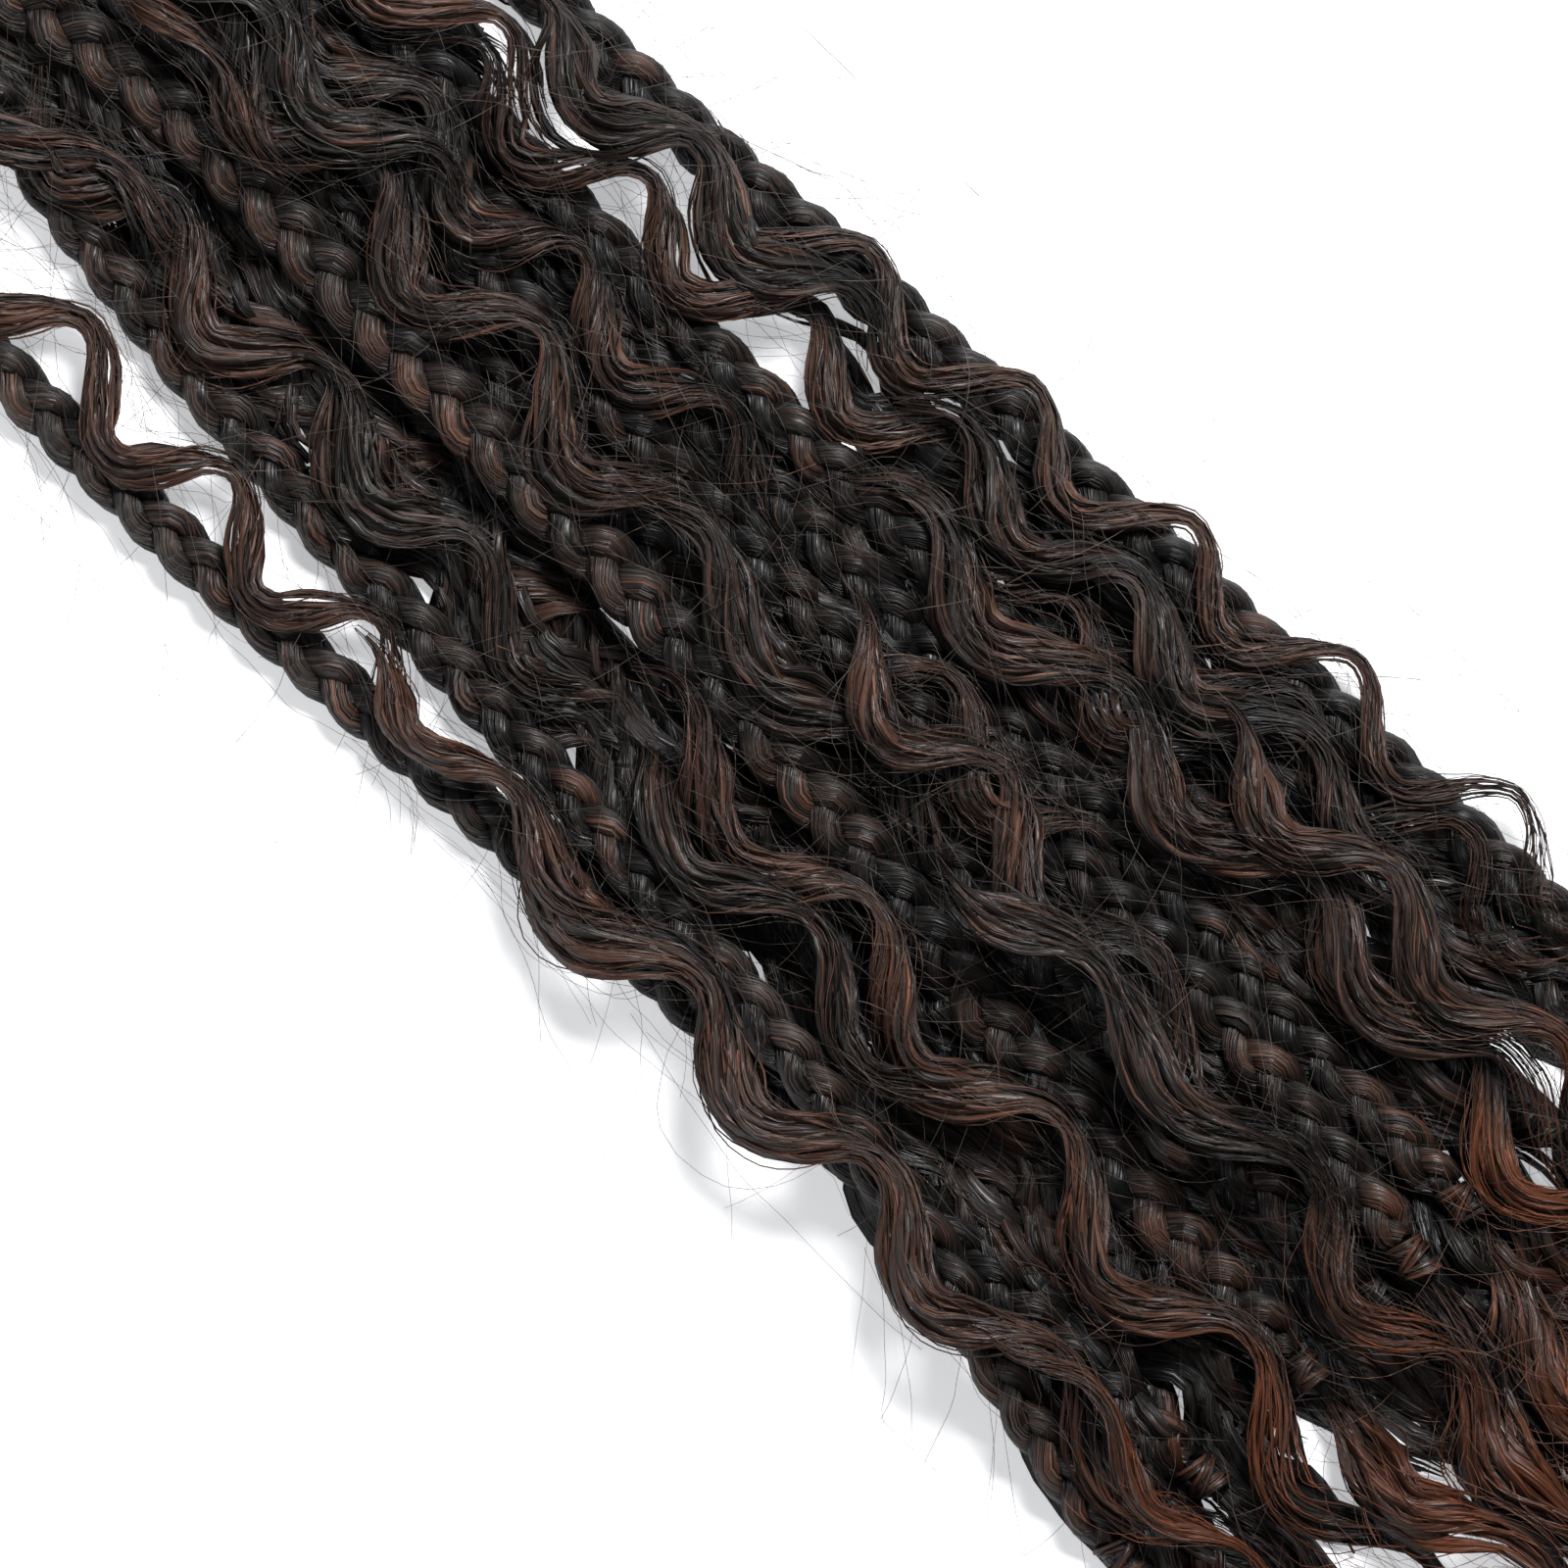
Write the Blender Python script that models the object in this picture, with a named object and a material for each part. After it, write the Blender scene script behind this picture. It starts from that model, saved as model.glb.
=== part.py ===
"""A pack of eight box braids with loose curls, lying flat on a surface.

The braids run along +X from the tie band at the origin to their knots and loose tails. +Y runs
across the pack and +Z is up. Each piece lies on what was laid before it, so the heights follow
from the plan. All sizes are in metres.
"""

import math
from collections import namedtuple

import bmesh
import bpy
import numpy as np

# Clearance between pieces that touch
GAP = 0.0003

# Braids
BRAID_RUN = 0.361  # from the middle of the tie band to the knots
PACK_HALF = 0.060  # half of the pack's width where the braids spread out
BRAID_WIDTH = 0.0092
BRAID_DEPTH = 0.0064
CROSSING = 0.0043  # length along the braid of one crossing of its strands
BRAID_REACH = 0.012  # how far a stiff braid bridges a hollow under it
BRAID_STUB = 0.002  # braid that shows between the band and the loops

# Crochet loops at the top
LOOP_STRAND = 0.0021
LOOP_EYE_WIDTH = 0.0050
LOOP_EYE_LENGTH = 0.0138

# Tie band
BAND_WIDTH = 0.012
BAND_WALL = 0.0012
BAND_CORNER = 0.0015

# Knots and tails
KNOT_LENGTH = 0.0075
KNOT_WIDTH = 0.0094
KNOT_DEPTH = 0.0074
TAIL_LENGTH = 0.062
TAIL_WIDTH = 0.0088
TAIL_DEPTH = 0.0050
TAIL_WAVE = 0.046  # length of one wave of a tail
TAIL_SWING = 0.0036

# Curls
CURL_WAVE = 0.034  # length of one wave of a curl
CURL_SWING = 0.0057
CURL_WIDTH = 0.0060
CURL_DEPTH = 0.0034
CURL_REACH = 0.007  # how far a soft curl bridges a hollow under it
CURL_TAPER = 0.014  # length over which a curl narrows at each end
RINGS_PER_WAVE = 7

# Laying grid
CELL = 0.0004
CELL_MARGIN = 0.71 * CELL
STEPS_PER_RING = 4

# The band holds the braids, and the loops beside each other, at this pitch.
PITCH = max(BRAID_WIDTH, LOOP_EYE_WIDTH + 2 * LOOP_STRAND) + GAP + 2 * CELL_MARGIN
STRAIGHT_RUN = BAND_WIDTH / 2 + 2 * BRAID_REACH + CROSSING
BRAID_TOP = -(BAND_WIDTH / 2 + BRAID_STUB)

# Where each braid runs. The stations are shares of BRAID_RUN, and across holds the braid's place at
# each of them as a share of PACK_HALF. The width and depth are shares of a plain braid's. A tail
# drifts sideways by a share of TAIL_LENGTH and starts its wave at tail_turn, a share of one wave.
STATIONS = (0.208, 0.305, 0.415, 0.554, 0.693, 0.831, 0.928, 1.0)
Braid = namedtuple("Braid", "size across tail_drift tail_swing tail_turn")
BRAIDS = (
    Braid(1.00, (-0.805, -0.826, -0.837, -0.810, -0.780, -0.775, -0.767, -0.762), 0.10, 0.9, 0.10),
    Braid(0.98, (-0.337, -0.437, -0.525, -0.590, -0.655, -0.770, -0.937, -1.037), 0.06, 1.0, 0.60),
    Braid(1.20, (-0.112, -0.043, -0.083, -0.118, -0.180, -0.300, -0.355, -0.387), 0.07, 1.2, 0.42),
    Braid(1.00, (0.047, 0.112, 0.050, -0.013, -0.043, -0.088, -0.112, -0.125), 0.02, 0.8, 0.90),
    Braid(1.04, (0.225, 0.223, 0.215, 0.165, 0.140, 0.145, 0.093, 0.025), -0.26, 0.9, 0.15),
    Braid(1.00, (0.363, 0.353, 0.338, 0.313, 0.287, 0.270, 0.220, 0.212), -0.30, 0.8, 0.30),
    Braid(0.98, (0.500, 0.490, 0.475, 0.457, 0.463, 0.463, 0.470, 0.478), -0.12, 0.9, 0.70),
    Braid(1.04, (0.815, 0.817, 0.820, 0.850, 0.872, 0.883, 0.893, 0.913), -0.05, 1.0, 0.20),
)
LAYING_ORDER = (0, 3, 5, 6, 4, 2, 1, 7)

# Where each curl runs. Start, end and crest are shares of BRAID_RUN, and crest is a place where the
# wave is furthest across. The two places across are shares of PACK_HALF; swing, wave and the
# two widths are shares of the plain curl's.
Curl = namedtuple("Curl", "start end across_start across_end swing wave crest width_start width_end")
CURLS = (
    Curl(0.263, 0.560, -0.675, -0.733, 1.00, 0.94, 0.329, 0.95, 0.80),
    Curl(0.238, 0.557, -0.275, -0.400, 1.05, 1.00, 0.321, 1.10, 0.95),
    Curl(0.235, 0.601, 0.195, 0.038, 1.10, 1.06, 0.371, 1.20, 1.00),
    Curl(0.332, 0.983, 0.512, 0.862, 0.96, 0.94, 0.457, 0.95, 0.80),
    Curl(0.457, 0.983, 0.800, 0.988, 1.00, 0.95, 0.549, 0.75, 0.60),
    Curl(0.568, 1.066, -0.750, -0.900, 0.84, 1.18, 0.596, 1.40, 0.85),
    Curl(0.596, 1.094, -0.300, -0.575, 1.05, 1.29, 0.619, 1.15, 1.00),
    Curl(0.659, 0.800, 0.190, 0.170, 0.91, 0.95, 0.700, 0.95, 0.80),
    Curl(0.673, 0.850, 0.567, 0.500, 0.79, 0.95, 0.715, 1.00, 0.85),
    Curl(0.205, 0.430, 0.560, 0.640, 0.90, 1.00, 0.275, 1.00, 0.80),
    Curl(0.800, 1.090, 0.560, 0.350, 0.90, 1.10, 0.860, 1.05, 0.90),
    Curl(0.790, 1.080, 0.080, -0.180, 0.85, 1.15, 0.840, 1.05, 0.90),
)

# A section's corners as shares of its half width and half depth. A braid's section leans to one
# side and then to the other, because its strands cross over in turn.
FLAT_TOP = 0.45
PLAIN_SECTION = ((1.0, 0.0), (FLAT_TOP, 1.0), (-FLAT_TOP, 1.0), (-1.0, 0.0), (0.0, -1.0))
BRAID_SECTION = ((1.0, 0.0), (FLAT_TOP, 1.0), (-0.35, 0.62), (-0.72, 0.0), (0.0, -1.0))

# A knot's two lobes: place along it and width, as shares of its length and width
KNOT_LOBES = ((0.0, 0.62), (0.26, 1.0), (0.50, 0.78), (0.76, 0.96), (1.0, 0.58))

# Colours of the fibre and the elastic
DARK_HAIR = (0.020, 0.015, 0.012, 1.0)
BROWN_HAIR = (0.048, 0.024, 0.014, 1.0)
COPPER_HAIR = (0.190, 0.062, 0.027, 1.0)
ELASTIC = (0.012, 0.012, 0.013, 1.0)


def clear_scene():
    for old in list(bpy.data.objects):
        bpy.data.objects.remove(old, do_unlink=True)


def make_material(name, colour, roughness):
    material = bpy.data.materials.new(name)
    material.use_nodes = True
    shader = material.node_tree.nodes["Principled BSDF"]
    shader.inputs["Base Color"].default_value = colour
    shader.inputs["Roughness"].default_value = roughness
    shader.inputs["Metallic"].default_value = 0.0
    return material


def smooth_curve(places, values, at):
    """Values of a smooth curve through the given places and values, with no overshoot."""
    places = np.asarray(places, float)
    values = np.asarray(values, float)
    steps = np.diff(places)
    slopes = np.diff(values) / steps
    tangents = np.zeros(len(places))
    same_way = slopes[:-1] * slopes[1:] > 0
    blend = 2 * slopes[:-1] * slopes[1:] / np.where(same_way, slopes[:-1] + slopes[1:], 1.0)
    tangents[1:-1] = np.where(same_way, blend, 0.0)
    tangents[-1] = slopes[-1]
    span = np.clip(np.searchsorted(places, at) - 1, 0, len(steps) - 1)
    t = (at - places[span]) / steps[span]
    rise = values[span + 1] - values[span]
    start = steps[span] * tangents[span]
    end = steps[span] * tangents[span + 1]
    eased = rise * (3 - 2 * t) * t**2
    return values[span] + eased + start * t * (1 - t) ** 2 - end * t**2 * (1 - t)


class Ground:
    """The height of what already lies on the surface, on a square grid."""

    def __init__(self, low, high):
        self.low = np.array(low)
        counts = np.ceil((np.array(high) - self.low) / CELL).astype(int) + 1
        self.height = np.zeros(counts)

    def around(self, x, y, half):
        """The cells within half of (x, y), and how far out each is, as a share of half."""
        reach = half + CELL_MARGIN
        first = np.maximum(np.ceil((np.array((x, y)) - reach - self.low) / CELL), 0).astype(int)
        last = np.floor((np.array((x, y)) + reach - self.low) / CELL).astype(int) + 1
        cells = (slice(first[0], last[0]), slice(first[1], last[1]))
        across_x = self.low[0] + CELL * np.arange(first[0], last[0])[:, None] - x
        across_y = self.low[1] + CELL * np.arange(first[1], last[1])[None, :] - y
        distance = np.hypot(across_x, across_y)
        share = np.maximum(distance - CELL_MARGIN, 0) / half
        return cells, share

    def height_needed(self, x, y, half, depth):
        """How high a section's middle has to be at (x, y) to clear what lies there."""
        cells, share = self.around(x, y, half)
        inside = share < 1
        return (self.height[cells] + depth * (1 - share))[inside].max()

    def cover(self, x, y, z, half, depth):
        cells, share = self.around(x, y, half)
        top = z + depth * np.minimum(1, (1 - share) / (1 - FLAT_TOP)) + GAP
        self.height[cells] = np.where(share < 1, np.maximum(self.height[cells], top), self.height[cells])


def windowed(values, along, reach, how):
    lows = np.searchsorted(along, along - reach)
    highs = np.searchsorted(along, along + reach, side="right")
    return np.array([how(values[low:high]) for low, high in zip(lows, highs)])


def lay(ground, x, y, half, depth, reach):
    """The height of each ring of a piece that is laid on the ground, which it then covers."""
    rings = np.arange(len(x))
    fine = np.linspace(0, len(x) - 1, (len(x) - 1) * STEPS_PER_RING + 1)
    fine_x, fine_y, fine_half, fine_depth = (np.interp(fine, rings, v) for v in (x, y, half, depth))
    chords = np.hypot(np.diff(x), np.diff(y))
    along = np.interp(fine, rings, np.concatenate(([0.0], np.cumsum(chords))))
    sections = list(zip(fine_x, fine_y, fine_half, fine_depth))
    needed = np.array([ground.height_needed(*section) for section in sections])
    highest = windowed(needed, along, reach + chords.max(), np.max)
    z = windowed(highest, along, reach, np.mean)[::STEPS_PER_RING]
    fine_z = np.interp(fine, rings, z)
    for (at_x, at_y, at_half, at_depth), at_z in zip(sections, fine_z):
        ground.cover(at_x, at_y, at_z, at_half, at_depth)
    return z


def sideways(x, y):
    """The unit vector across a route in plan, at each of its points, and one for two that face."""
    dx = np.gradient(x)
    dy = np.gradient(y)
    for i in np.flatnonzero(np.hypot(np.diff(x), np.diff(y)) < 2 * GAP):
        dx[i] = dx[i + 1] = x[i + 2] - x[i - 1]
        dy[i] = dy[i + 1] = y[i + 2] - y[i - 1]
    length = np.hypot(dx, dy)
    return np.stack((-dy / length, dx / length), axis=1)


def section_rings(x, y, z, half, depth, sections):
    """A ring of corners for each point of a route."""
    across = sideways(x, y)
    rings = []
    for i, section in enumerate(sections):
        ring = []
        for side, up in section:
            reach = side * half[i]
            ring.append((x[i] + across[i][0] * reach, y[i] + across[i][1] * reach, z[i] + up * depth[i]))
        rings.append(ring)
    return rings


def loft(name, rings, material, parent, closed=False):
    """One solid through rings of corners, joined end to end where it is closed."""
    origin = np.mean(rings[0], axis=0)
    mesh = bpy.data.meshes.new(name)
    shape = bmesh.new()
    corners = [[shape.verts.new(np.array(corner) - origin) for corner in ring] for ring in rings]
    following = corners[1:] + ([corners[0]] if closed else [])
    for ring, after in zip(corners, following):
        for i in range(len(ring)):
            j = (i + 1) % len(ring)
            shape.faces.new((ring[i], ring[j], after[j], after[i]))
    if not closed:
        shape.faces.new(corners[0])
        shape.faces.new(corners[-1])
    bmesh.ops.recalc_face_normals(shape, faces=shape.faces)
    shape.to_mesh(mesh)
    shape.free()
    mesh.shade_smooth()
    mesh.set_sharp_from_angle(angle=math.radians(60))
    mesh.materials.append(material)
    piece = bpy.data.objects.new(name, mesh)
    piece.location = origin
    piece.parent = parent
    bpy.context.collection.objects.link(piece)
    return piece


def taper(share, ends):
    """Width along a piece whose ends narrow over a share of its length to the two given shares."""
    start_width, end_width, length = ends
    rise = np.clip(share / length, 0, 1)
    fall = np.clip((1 - share) / length, 0, 1)
    return (start_width + (1 - start_width) * rise) * (end_width + (1 - end_width) * fall)


def band_place(index):
    return (index - (len(BRAIDS) - 1) / 2) * PITCH


def braid_rings(index):
    """The plan of a whole strand: its braid, knot and tail, as one route of rings."""
    row = BRAIDS[index]
    held = band_place(index)
    count = round((BRAID_RUN - BRAID_TOP) / CROSSING)
    x = np.linspace(BRAID_TOP, BRAID_RUN, count + 1)
    places = (BRAID_TOP - CROSSING, STRAIGHT_RUN) + tuple(share * BRAID_RUN for share in STATIONS)
    across = (held, held) + tuple(share * PACK_HALF for share in row.across)
    y = smooth_curve(places, across, x)
    size = 1 + (row.size - 1) * np.clip((x - STRAIGHT_RUN) / STRAIGHT_RUN, 0, 1)
    return x, y, size * BRAID_WIDTH / 2, size * BRAID_DEPTH / 2


def knot_rings(x_end, y_end, slope):
    shares = np.array([share for share, _ in KNOT_LOBES])
    widths = np.array([width for _, width in KNOT_LOBES])
    x = x_end + GAP + shares * KNOT_LENGTH
    y = y_end + slope * (x - x_end)
    return x, y, widths * KNOT_WIDTH / 2, widths * KNOT_DEPTH / 2


def tail_rings(row, x_end, y_end, slope):
    count = round(TAIL_LENGTH / TAIL_WAVE * RINGS_PER_WAVE)
    share = np.linspace(0, 1, count + 1)
    run = share * TAIL_LENGTH
    turn = 2 * math.pi * row.tail_turn
    wave = np.sin(2 * math.pi * run / TAIL_WAVE + turn) - math.sin(turn)
    grown = np.clip(2.5 * share, 0, 1)
    y = y_end + slope * GAP + row.tail_drift * run + row.tail_swing * TAIL_SWING * grown * wave
    width = taper(share, (0.62, 0.28, 0.22))
    return x_end + GAP + run, y, width * TAIL_WIDTH / 2, width * TAIL_DEPTH / 2


def lay_strand(ground, index, materials, parent):
    """Lays one strand and makes its braid, knot and tail, and returns its height at the top."""
    row = BRAIDS[index]
    braid = braid_rings(index)
    slope = (braid[1][-1] - braid[1][-2]) / (braid[0][-1] - braid[0][-2])
    knot = knot_rings(braid[0][-1], braid[1][-1], slope)
    tail = tail_rings(row, knot[0][-1], knot[1][-1], slope)
    x, y, half, depth = (np.concatenate(columns) for columns in zip(braid, knot, tail))
    z = lay(ground, x, y, half, depth, BRAID_REACH)
    first_knot = len(braid[0])
    first_tail = first_knot + len(knot[0])
    sections = []
    for i in range(len(x)):
        side = 1 if (i + index) % 2 else -1
        braided = [(side * across, up) for across, up in BRAID_SECTION]
        sections.append(braided[::side] if i < first_knot else PLAIN_SECTION)
    rings = section_rings(x, y, z, half, depth, sections)
    number = f"{index + 1:02d}"
    loft("braid_" + number, rings[:first_knot], materials["dark"], parent)
    loft("knot_" + number, rings[first_knot:first_tail], materials["dark"], parent)
    loft("tail_" + number, rings[first_tail:], materials["copper"], parent)
    return z[0]


def make_loop(index, braid_height, material, parent):
    """A crochet loop: an oval ring that slopes from the end of its braid down to the surface."""
    radius = LOOP_STRAND / 2
    turn = (LOOP_EYE_WIDTH + LOOP_STRAND) / 2
    straight = LOOP_EYE_LENGTH - LOOP_EYE_WIDTH
    neck = BRAID_TOP - GAP - radius
    tip = neck - straight - 2 * turn
    route = []
    for end, first_angle in ((neck - turn, -90), (tip + turn, 90)):
        for step in range(5):
            angle = math.radians(first_angle + 45 * step)
            route.append((end + turn * math.cos(angle), turn * math.sin(angle)))
    rings = []
    count = len(route)
    for i, (x, y) in enumerate(route):
        before = np.array(route[i - 1])
        after = np.array(route[(i + 1) % count])
        along = (after - before) / np.linalg.norm(after - before)
        share = (x - tip) / (neck - tip)
        z = radius + share * (braid_height - radius)
        ring = []
        for corner in range(5):
            angle = 2 * math.pi * corner / 5 - math.pi / 2
            out = radius * math.cos(angle)
            height = z + radius * math.sin(angle)
            ring.append((x + along[1] * out, band_place(index) + y - along[0] * out, height))
        rings.append(ring)
    return loft(f"loop_{index + 1:02d}", rings, material, parent, closed=True)


def rounded_outline(half_width, low, high, radius):
    """Corners of an upright rounded oblong, as (y, z) pairs."""
    outline = []
    middles = (
        (half_width - radius, high - radius, 0),
        (radius - half_width, high - radius, 90),
        (radius - half_width, low + radius, 180),
        (half_width - radius, low + radius, 270),
    )
    for y, z, first_angle in middles:
        for step in range(3):
            angle = math.radians(first_angle + 45 * step)
            outline.append((y + radius * math.cos(angle), z + radius * math.sin(angle)))
    return outline


def make_band(material, parent):
    """The flat elastic band that holds the tops of the braids together."""
    inner_half = -band_place(0) + BRAID_WIDTH / 2 + GAP
    inner_top = BAND_WALL + 2 * GAP + BRAID_DEPTH
    outer = rounded_outline(
        inner_half + BAND_WALL, 0.0, inner_top + BAND_WALL, BAND_CORNER + BAND_WALL
    )
    inner = rounded_outline(inner_half, BAND_WALL, inner_top, BAND_CORNER)
    rings = []
    for (outer_y, outer_z), (inner_y, inner_z) in zip(outer, inner):
        back = -BAND_WIDTH / 2
        front = BAND_WIDTH / 2
        rings.append(
            [
                (back, outer_y, outer_z),
                (front, outer_y, outer_z),
                (front, inner_y, inner_z),
                (back, inner_y, inner_z),
            ]
        )
    return loft("tie_band", rings, material, parent, closed=True)


def make_curl(ground, number, row, material, parent):
    """A wavy lock that lies on the braids it leaves and in the hollows beside them."""
    start = row.start * BRAID_RUN
    end = row.end * BRAID_RUN
    wave = row.wave * CURL_WAVE
    count = max(round((end - start) / wave * RINGS_PER_WAVE), 6)
    share = np.linspace(0, 1, count + 1)
    x = start + share * (end - start)
    base = (row.across_start + share * (row.across_end - row.across_start)) * PACK_HALF
    y = base + row.swing * CURL_SWING * np.cos(2 * math.pi * (x - row.crest * BRAID_RUN) / wave)
    ends = taper(share, (0.40, 0.26, min(CURL_TAPER / (end - start), 0.5)))
    size = (row.width_start + share * (row.width_end - row.width_start)) * ends
    half = size * CURL_WIDTH / 2
    depth = size * CURL_DEPTH / 2
    z = lay(ground, x, y, half, depth, CURL_REACH)
    rings = section_rings(x, y, z, half, depth, [PLAIN_SECTION] * len(x))
    return loft(f"curl_{number:02d}", rings, material, parent)


def lay_out_ground():
    """An empty surface with only the lower wall of the tie band on it."""
    longest = BRAID_RUN * max(1, max(row.end for row in CURLS)) + KNOT_LENGTH + TAIL_LENGTH
    room = CURL_WIDTH + KNOT_WIDTH + TAIL_SWING
    widest = PACK_HALF * 1.2 + TAIL_LENGTH * 0.3 + CURL_SWING + room
    ground = Ground((BRAID_TOP - room, -widest), (longest + room, widest))
    under_band = ((np.array((-BAND_WIDTH, BAND_WIDTH)) / 2 - ground.low[0]) / CELL).astype(int)
    ground.height[under_band[0] - 1 : under_band[1] + 2, :] = BAND_WALL + GAP
    return ground


def build_pack():
    clear_scene()
    pack = bpy.data.objects.new("hair_pack", None)
    bpy.context.collection.objects.link(pack)
    materials = {
        "dark": make_material("dark hair", DARK_HAIR, 0.45),
        "brown": make_material("brown hair", BROWN_HAIR, 0.45),
        "copper": make_material("copper hair", COPPER_HAIR, 0.45),
        "elastic": make_material("elastic", ELASTIC, 0.8),
    }
    ground = lay_out_ground()
    make_band(materials["elastic"], pack)
    for index in LAYING_ORDER:
        top_height = lay_strand(ground, index, materials, pack)
        make_loop(index, top_height, materials["dark"], pack)
    for number, row in enumerate(CURLS, start=1):
        make_curl(ground, number, row, materials["brown"], pack)


build_pack()
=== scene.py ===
"""The looks of a pack of eight box braids with loose curls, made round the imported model.

Every braid is plaited from three fibre strands, every curl and tail is a bundle of fine locks, and
loose hairs stray over them. The routes and the way they are laid are those of the model's solids.
All sizes are in metres.
"""

import math
from collections import namedtuple

import bpy
import numpy as np
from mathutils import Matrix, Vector


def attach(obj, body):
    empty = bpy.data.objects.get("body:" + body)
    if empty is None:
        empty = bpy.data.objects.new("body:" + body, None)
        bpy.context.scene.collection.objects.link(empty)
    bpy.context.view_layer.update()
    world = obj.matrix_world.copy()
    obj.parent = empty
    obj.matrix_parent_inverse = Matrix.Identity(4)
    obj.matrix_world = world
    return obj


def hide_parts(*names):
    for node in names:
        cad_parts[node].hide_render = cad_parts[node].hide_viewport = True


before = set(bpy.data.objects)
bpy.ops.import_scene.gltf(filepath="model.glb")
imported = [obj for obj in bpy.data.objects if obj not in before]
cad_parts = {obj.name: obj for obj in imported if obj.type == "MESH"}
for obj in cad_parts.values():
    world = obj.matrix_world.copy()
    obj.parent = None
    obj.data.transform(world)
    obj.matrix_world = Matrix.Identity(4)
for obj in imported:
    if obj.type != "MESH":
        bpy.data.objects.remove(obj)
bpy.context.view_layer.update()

# The model's sizes, repeated here because its routes are laid again
GAP = 0.0003
BRAID_RUN = 0.361
PACK_HALF = 0.060
BRAID_WIDTH = 0.0092
BRAID_DEPTH = 0.0064
CROSSING = 0.0043
BRAID_REACH = 0.012
BRAID_STUB = 0.002
LOOP_STRAND = 0.0021
LOOP_EYE_WIDTH = 0.0050
LOOP_EYE_LENGTH = 0.0138
BAND_WIDTH = 0.012
BAND_WALL = 0.0012
BAND_CORNER = 0.0015
KNOT_LENGTH = 0.0075
KNOT_WIDTH = 0.0094
KNOT_DEPTH = 0.0074
TAIL_LENGTH = 0.062
TAIL_WIDTH = 0.0088
TAIL_DEPTH = 0.0050
TAIL_WAVE = 0.046
TAIL_SWING = 0.0036
CURL_WAVE = 0.034
CURL_SWING = 0.0057
CURL_WIDTH = 0.0060
CURL_DEPTH = 0.0034
CURL_REACH = 0.007
CURL_TAPER = 0.014
RINGS_PER_WAVE = 7
CELL = 0.0004
CELL_MARGIN = 0.71 * CELL
STEPS_PER_RING = 4
FLAT_TOP = 0.45
PITCH = max(BRAID_WIDTH, LOOP_EYE_WIDTH + 2 * LOOP_STRAND) + GAP + 2 * CELL_MARGIN
STRAIGHT_RUN = BAND_WIDTH / 2 + 2 * BRAID_REACH + CROSSING
BRAID_TOP = -(BAND_WIDTH / 2 + BRAID_STUB)

STATIONS = (0.208, 0.305, 0.415, 0.554, 0.693, 0.831, 0.928, 1.0)
Braid = namedtuple("Braid", "size across tail_drift tail_swing tail_turn")
BRAIDS = (
    Braid(1.00, (-0.805, -0.826, -0.837, -0.810, -0.780, -0.775, -0.767, -0.762), 0.10, 0.9, 0.10),
    Braid(0.98, (-0.337, -0.437, -0.525, -0.590, -0.655, -0.770, -0.937, -1.037), 0.06, 1.0, 0.60),
    Braid(1.20, (-0.112, -0.043, -0.083, -0.118, -0.180, -0.300, -0.355, -0.387), 0.07, 1.2, 0.42),
    Braid(1.00, (0.047, 0.112, 0.050, -0.013, -0.043, -0.088, -0.112, -0.125), 0.02, 0.8, 0.90),
    Braid(1.04, (0.225, 0.223, 0.215, 0.165, 0.140, 0.145, 0.093, 0.025), -0.26, 0.9, 0.15),
    Braid(1.00, (0.363, 0.353, 0.338, 0.313, 0.287, 0.270, 0.220, 0.212), -0.30, 0.8, 0.30),
    Braid(0.98, (0.500, 0.490, 0.475, 0.457, 0.463, 0.463, 0.470, 0.478), -0.12, 0.9, 0.70),
    Braid(1.04, (0.815, 0.817, 0.820, 0.850, 0.872, 0.883, 0.893, 0.913), -0.05, 1.0, 0.20),
)
LAYING_ORDER = (0, 3, 5, 6, 4, 2, 1, 7)
Curl = namedtuple("Curl", "start end across_start across_end swing wave crest width_start width_end")
CURLS = (
    Curl(0.263, 0.560, -0.675, -0.733, 1.00, 0.94, 0.329, 0.95, 0.80),
    Curl(0.238, 0.557, -0.275, -0.400, 1.05, 1.00, 0.321, 1.10, 0.95),
    Curl(0.235, 0.601, 0.195, 0.038, 1.10, 1.06, 0.371, 1.20, 1.00),
    Curl(0.332, 0.983, 0.512, 0.862, 0.96, 0.94, 0.457, 0.95, 0.80),
    Curl(0.457, 0.983, 0.800, 0.988, 1.00, 0.95, 0.549, 0.75, 0.60),
    Curl(0.568, 1.066, -0.750, -0.900, 0.84, 1.18, 0.596, 1.40, 0.85),
    Curl(0.596, 1.094, -0.300, -0.575, 1.05, 1.29, 0.619, 1.15, 1.00),
    Curl(0.659, 0.800, 0.190, 0.170, 0.91, 0.95, 0.700, 0.95, 0.80),
    Curl(0.673, 0.850, 0.567, 0.500, 0.79, 0.95, 0.715, 1.00, 0.85),
    Curl(0.205, 0.430, 0.560, 0.640, 0.90, 1.00, 0.275, 1.00, 0.80),
    Curl(0.800, 1.090, 0.560, 0.350, 0.90, 1.10, 0.860, 1.05, 0.90),
    Curl(0.790, 1.080, 0.080, -0.180, 0.85, 1.15, 0.840, 1.05, 0.90),
)

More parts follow.
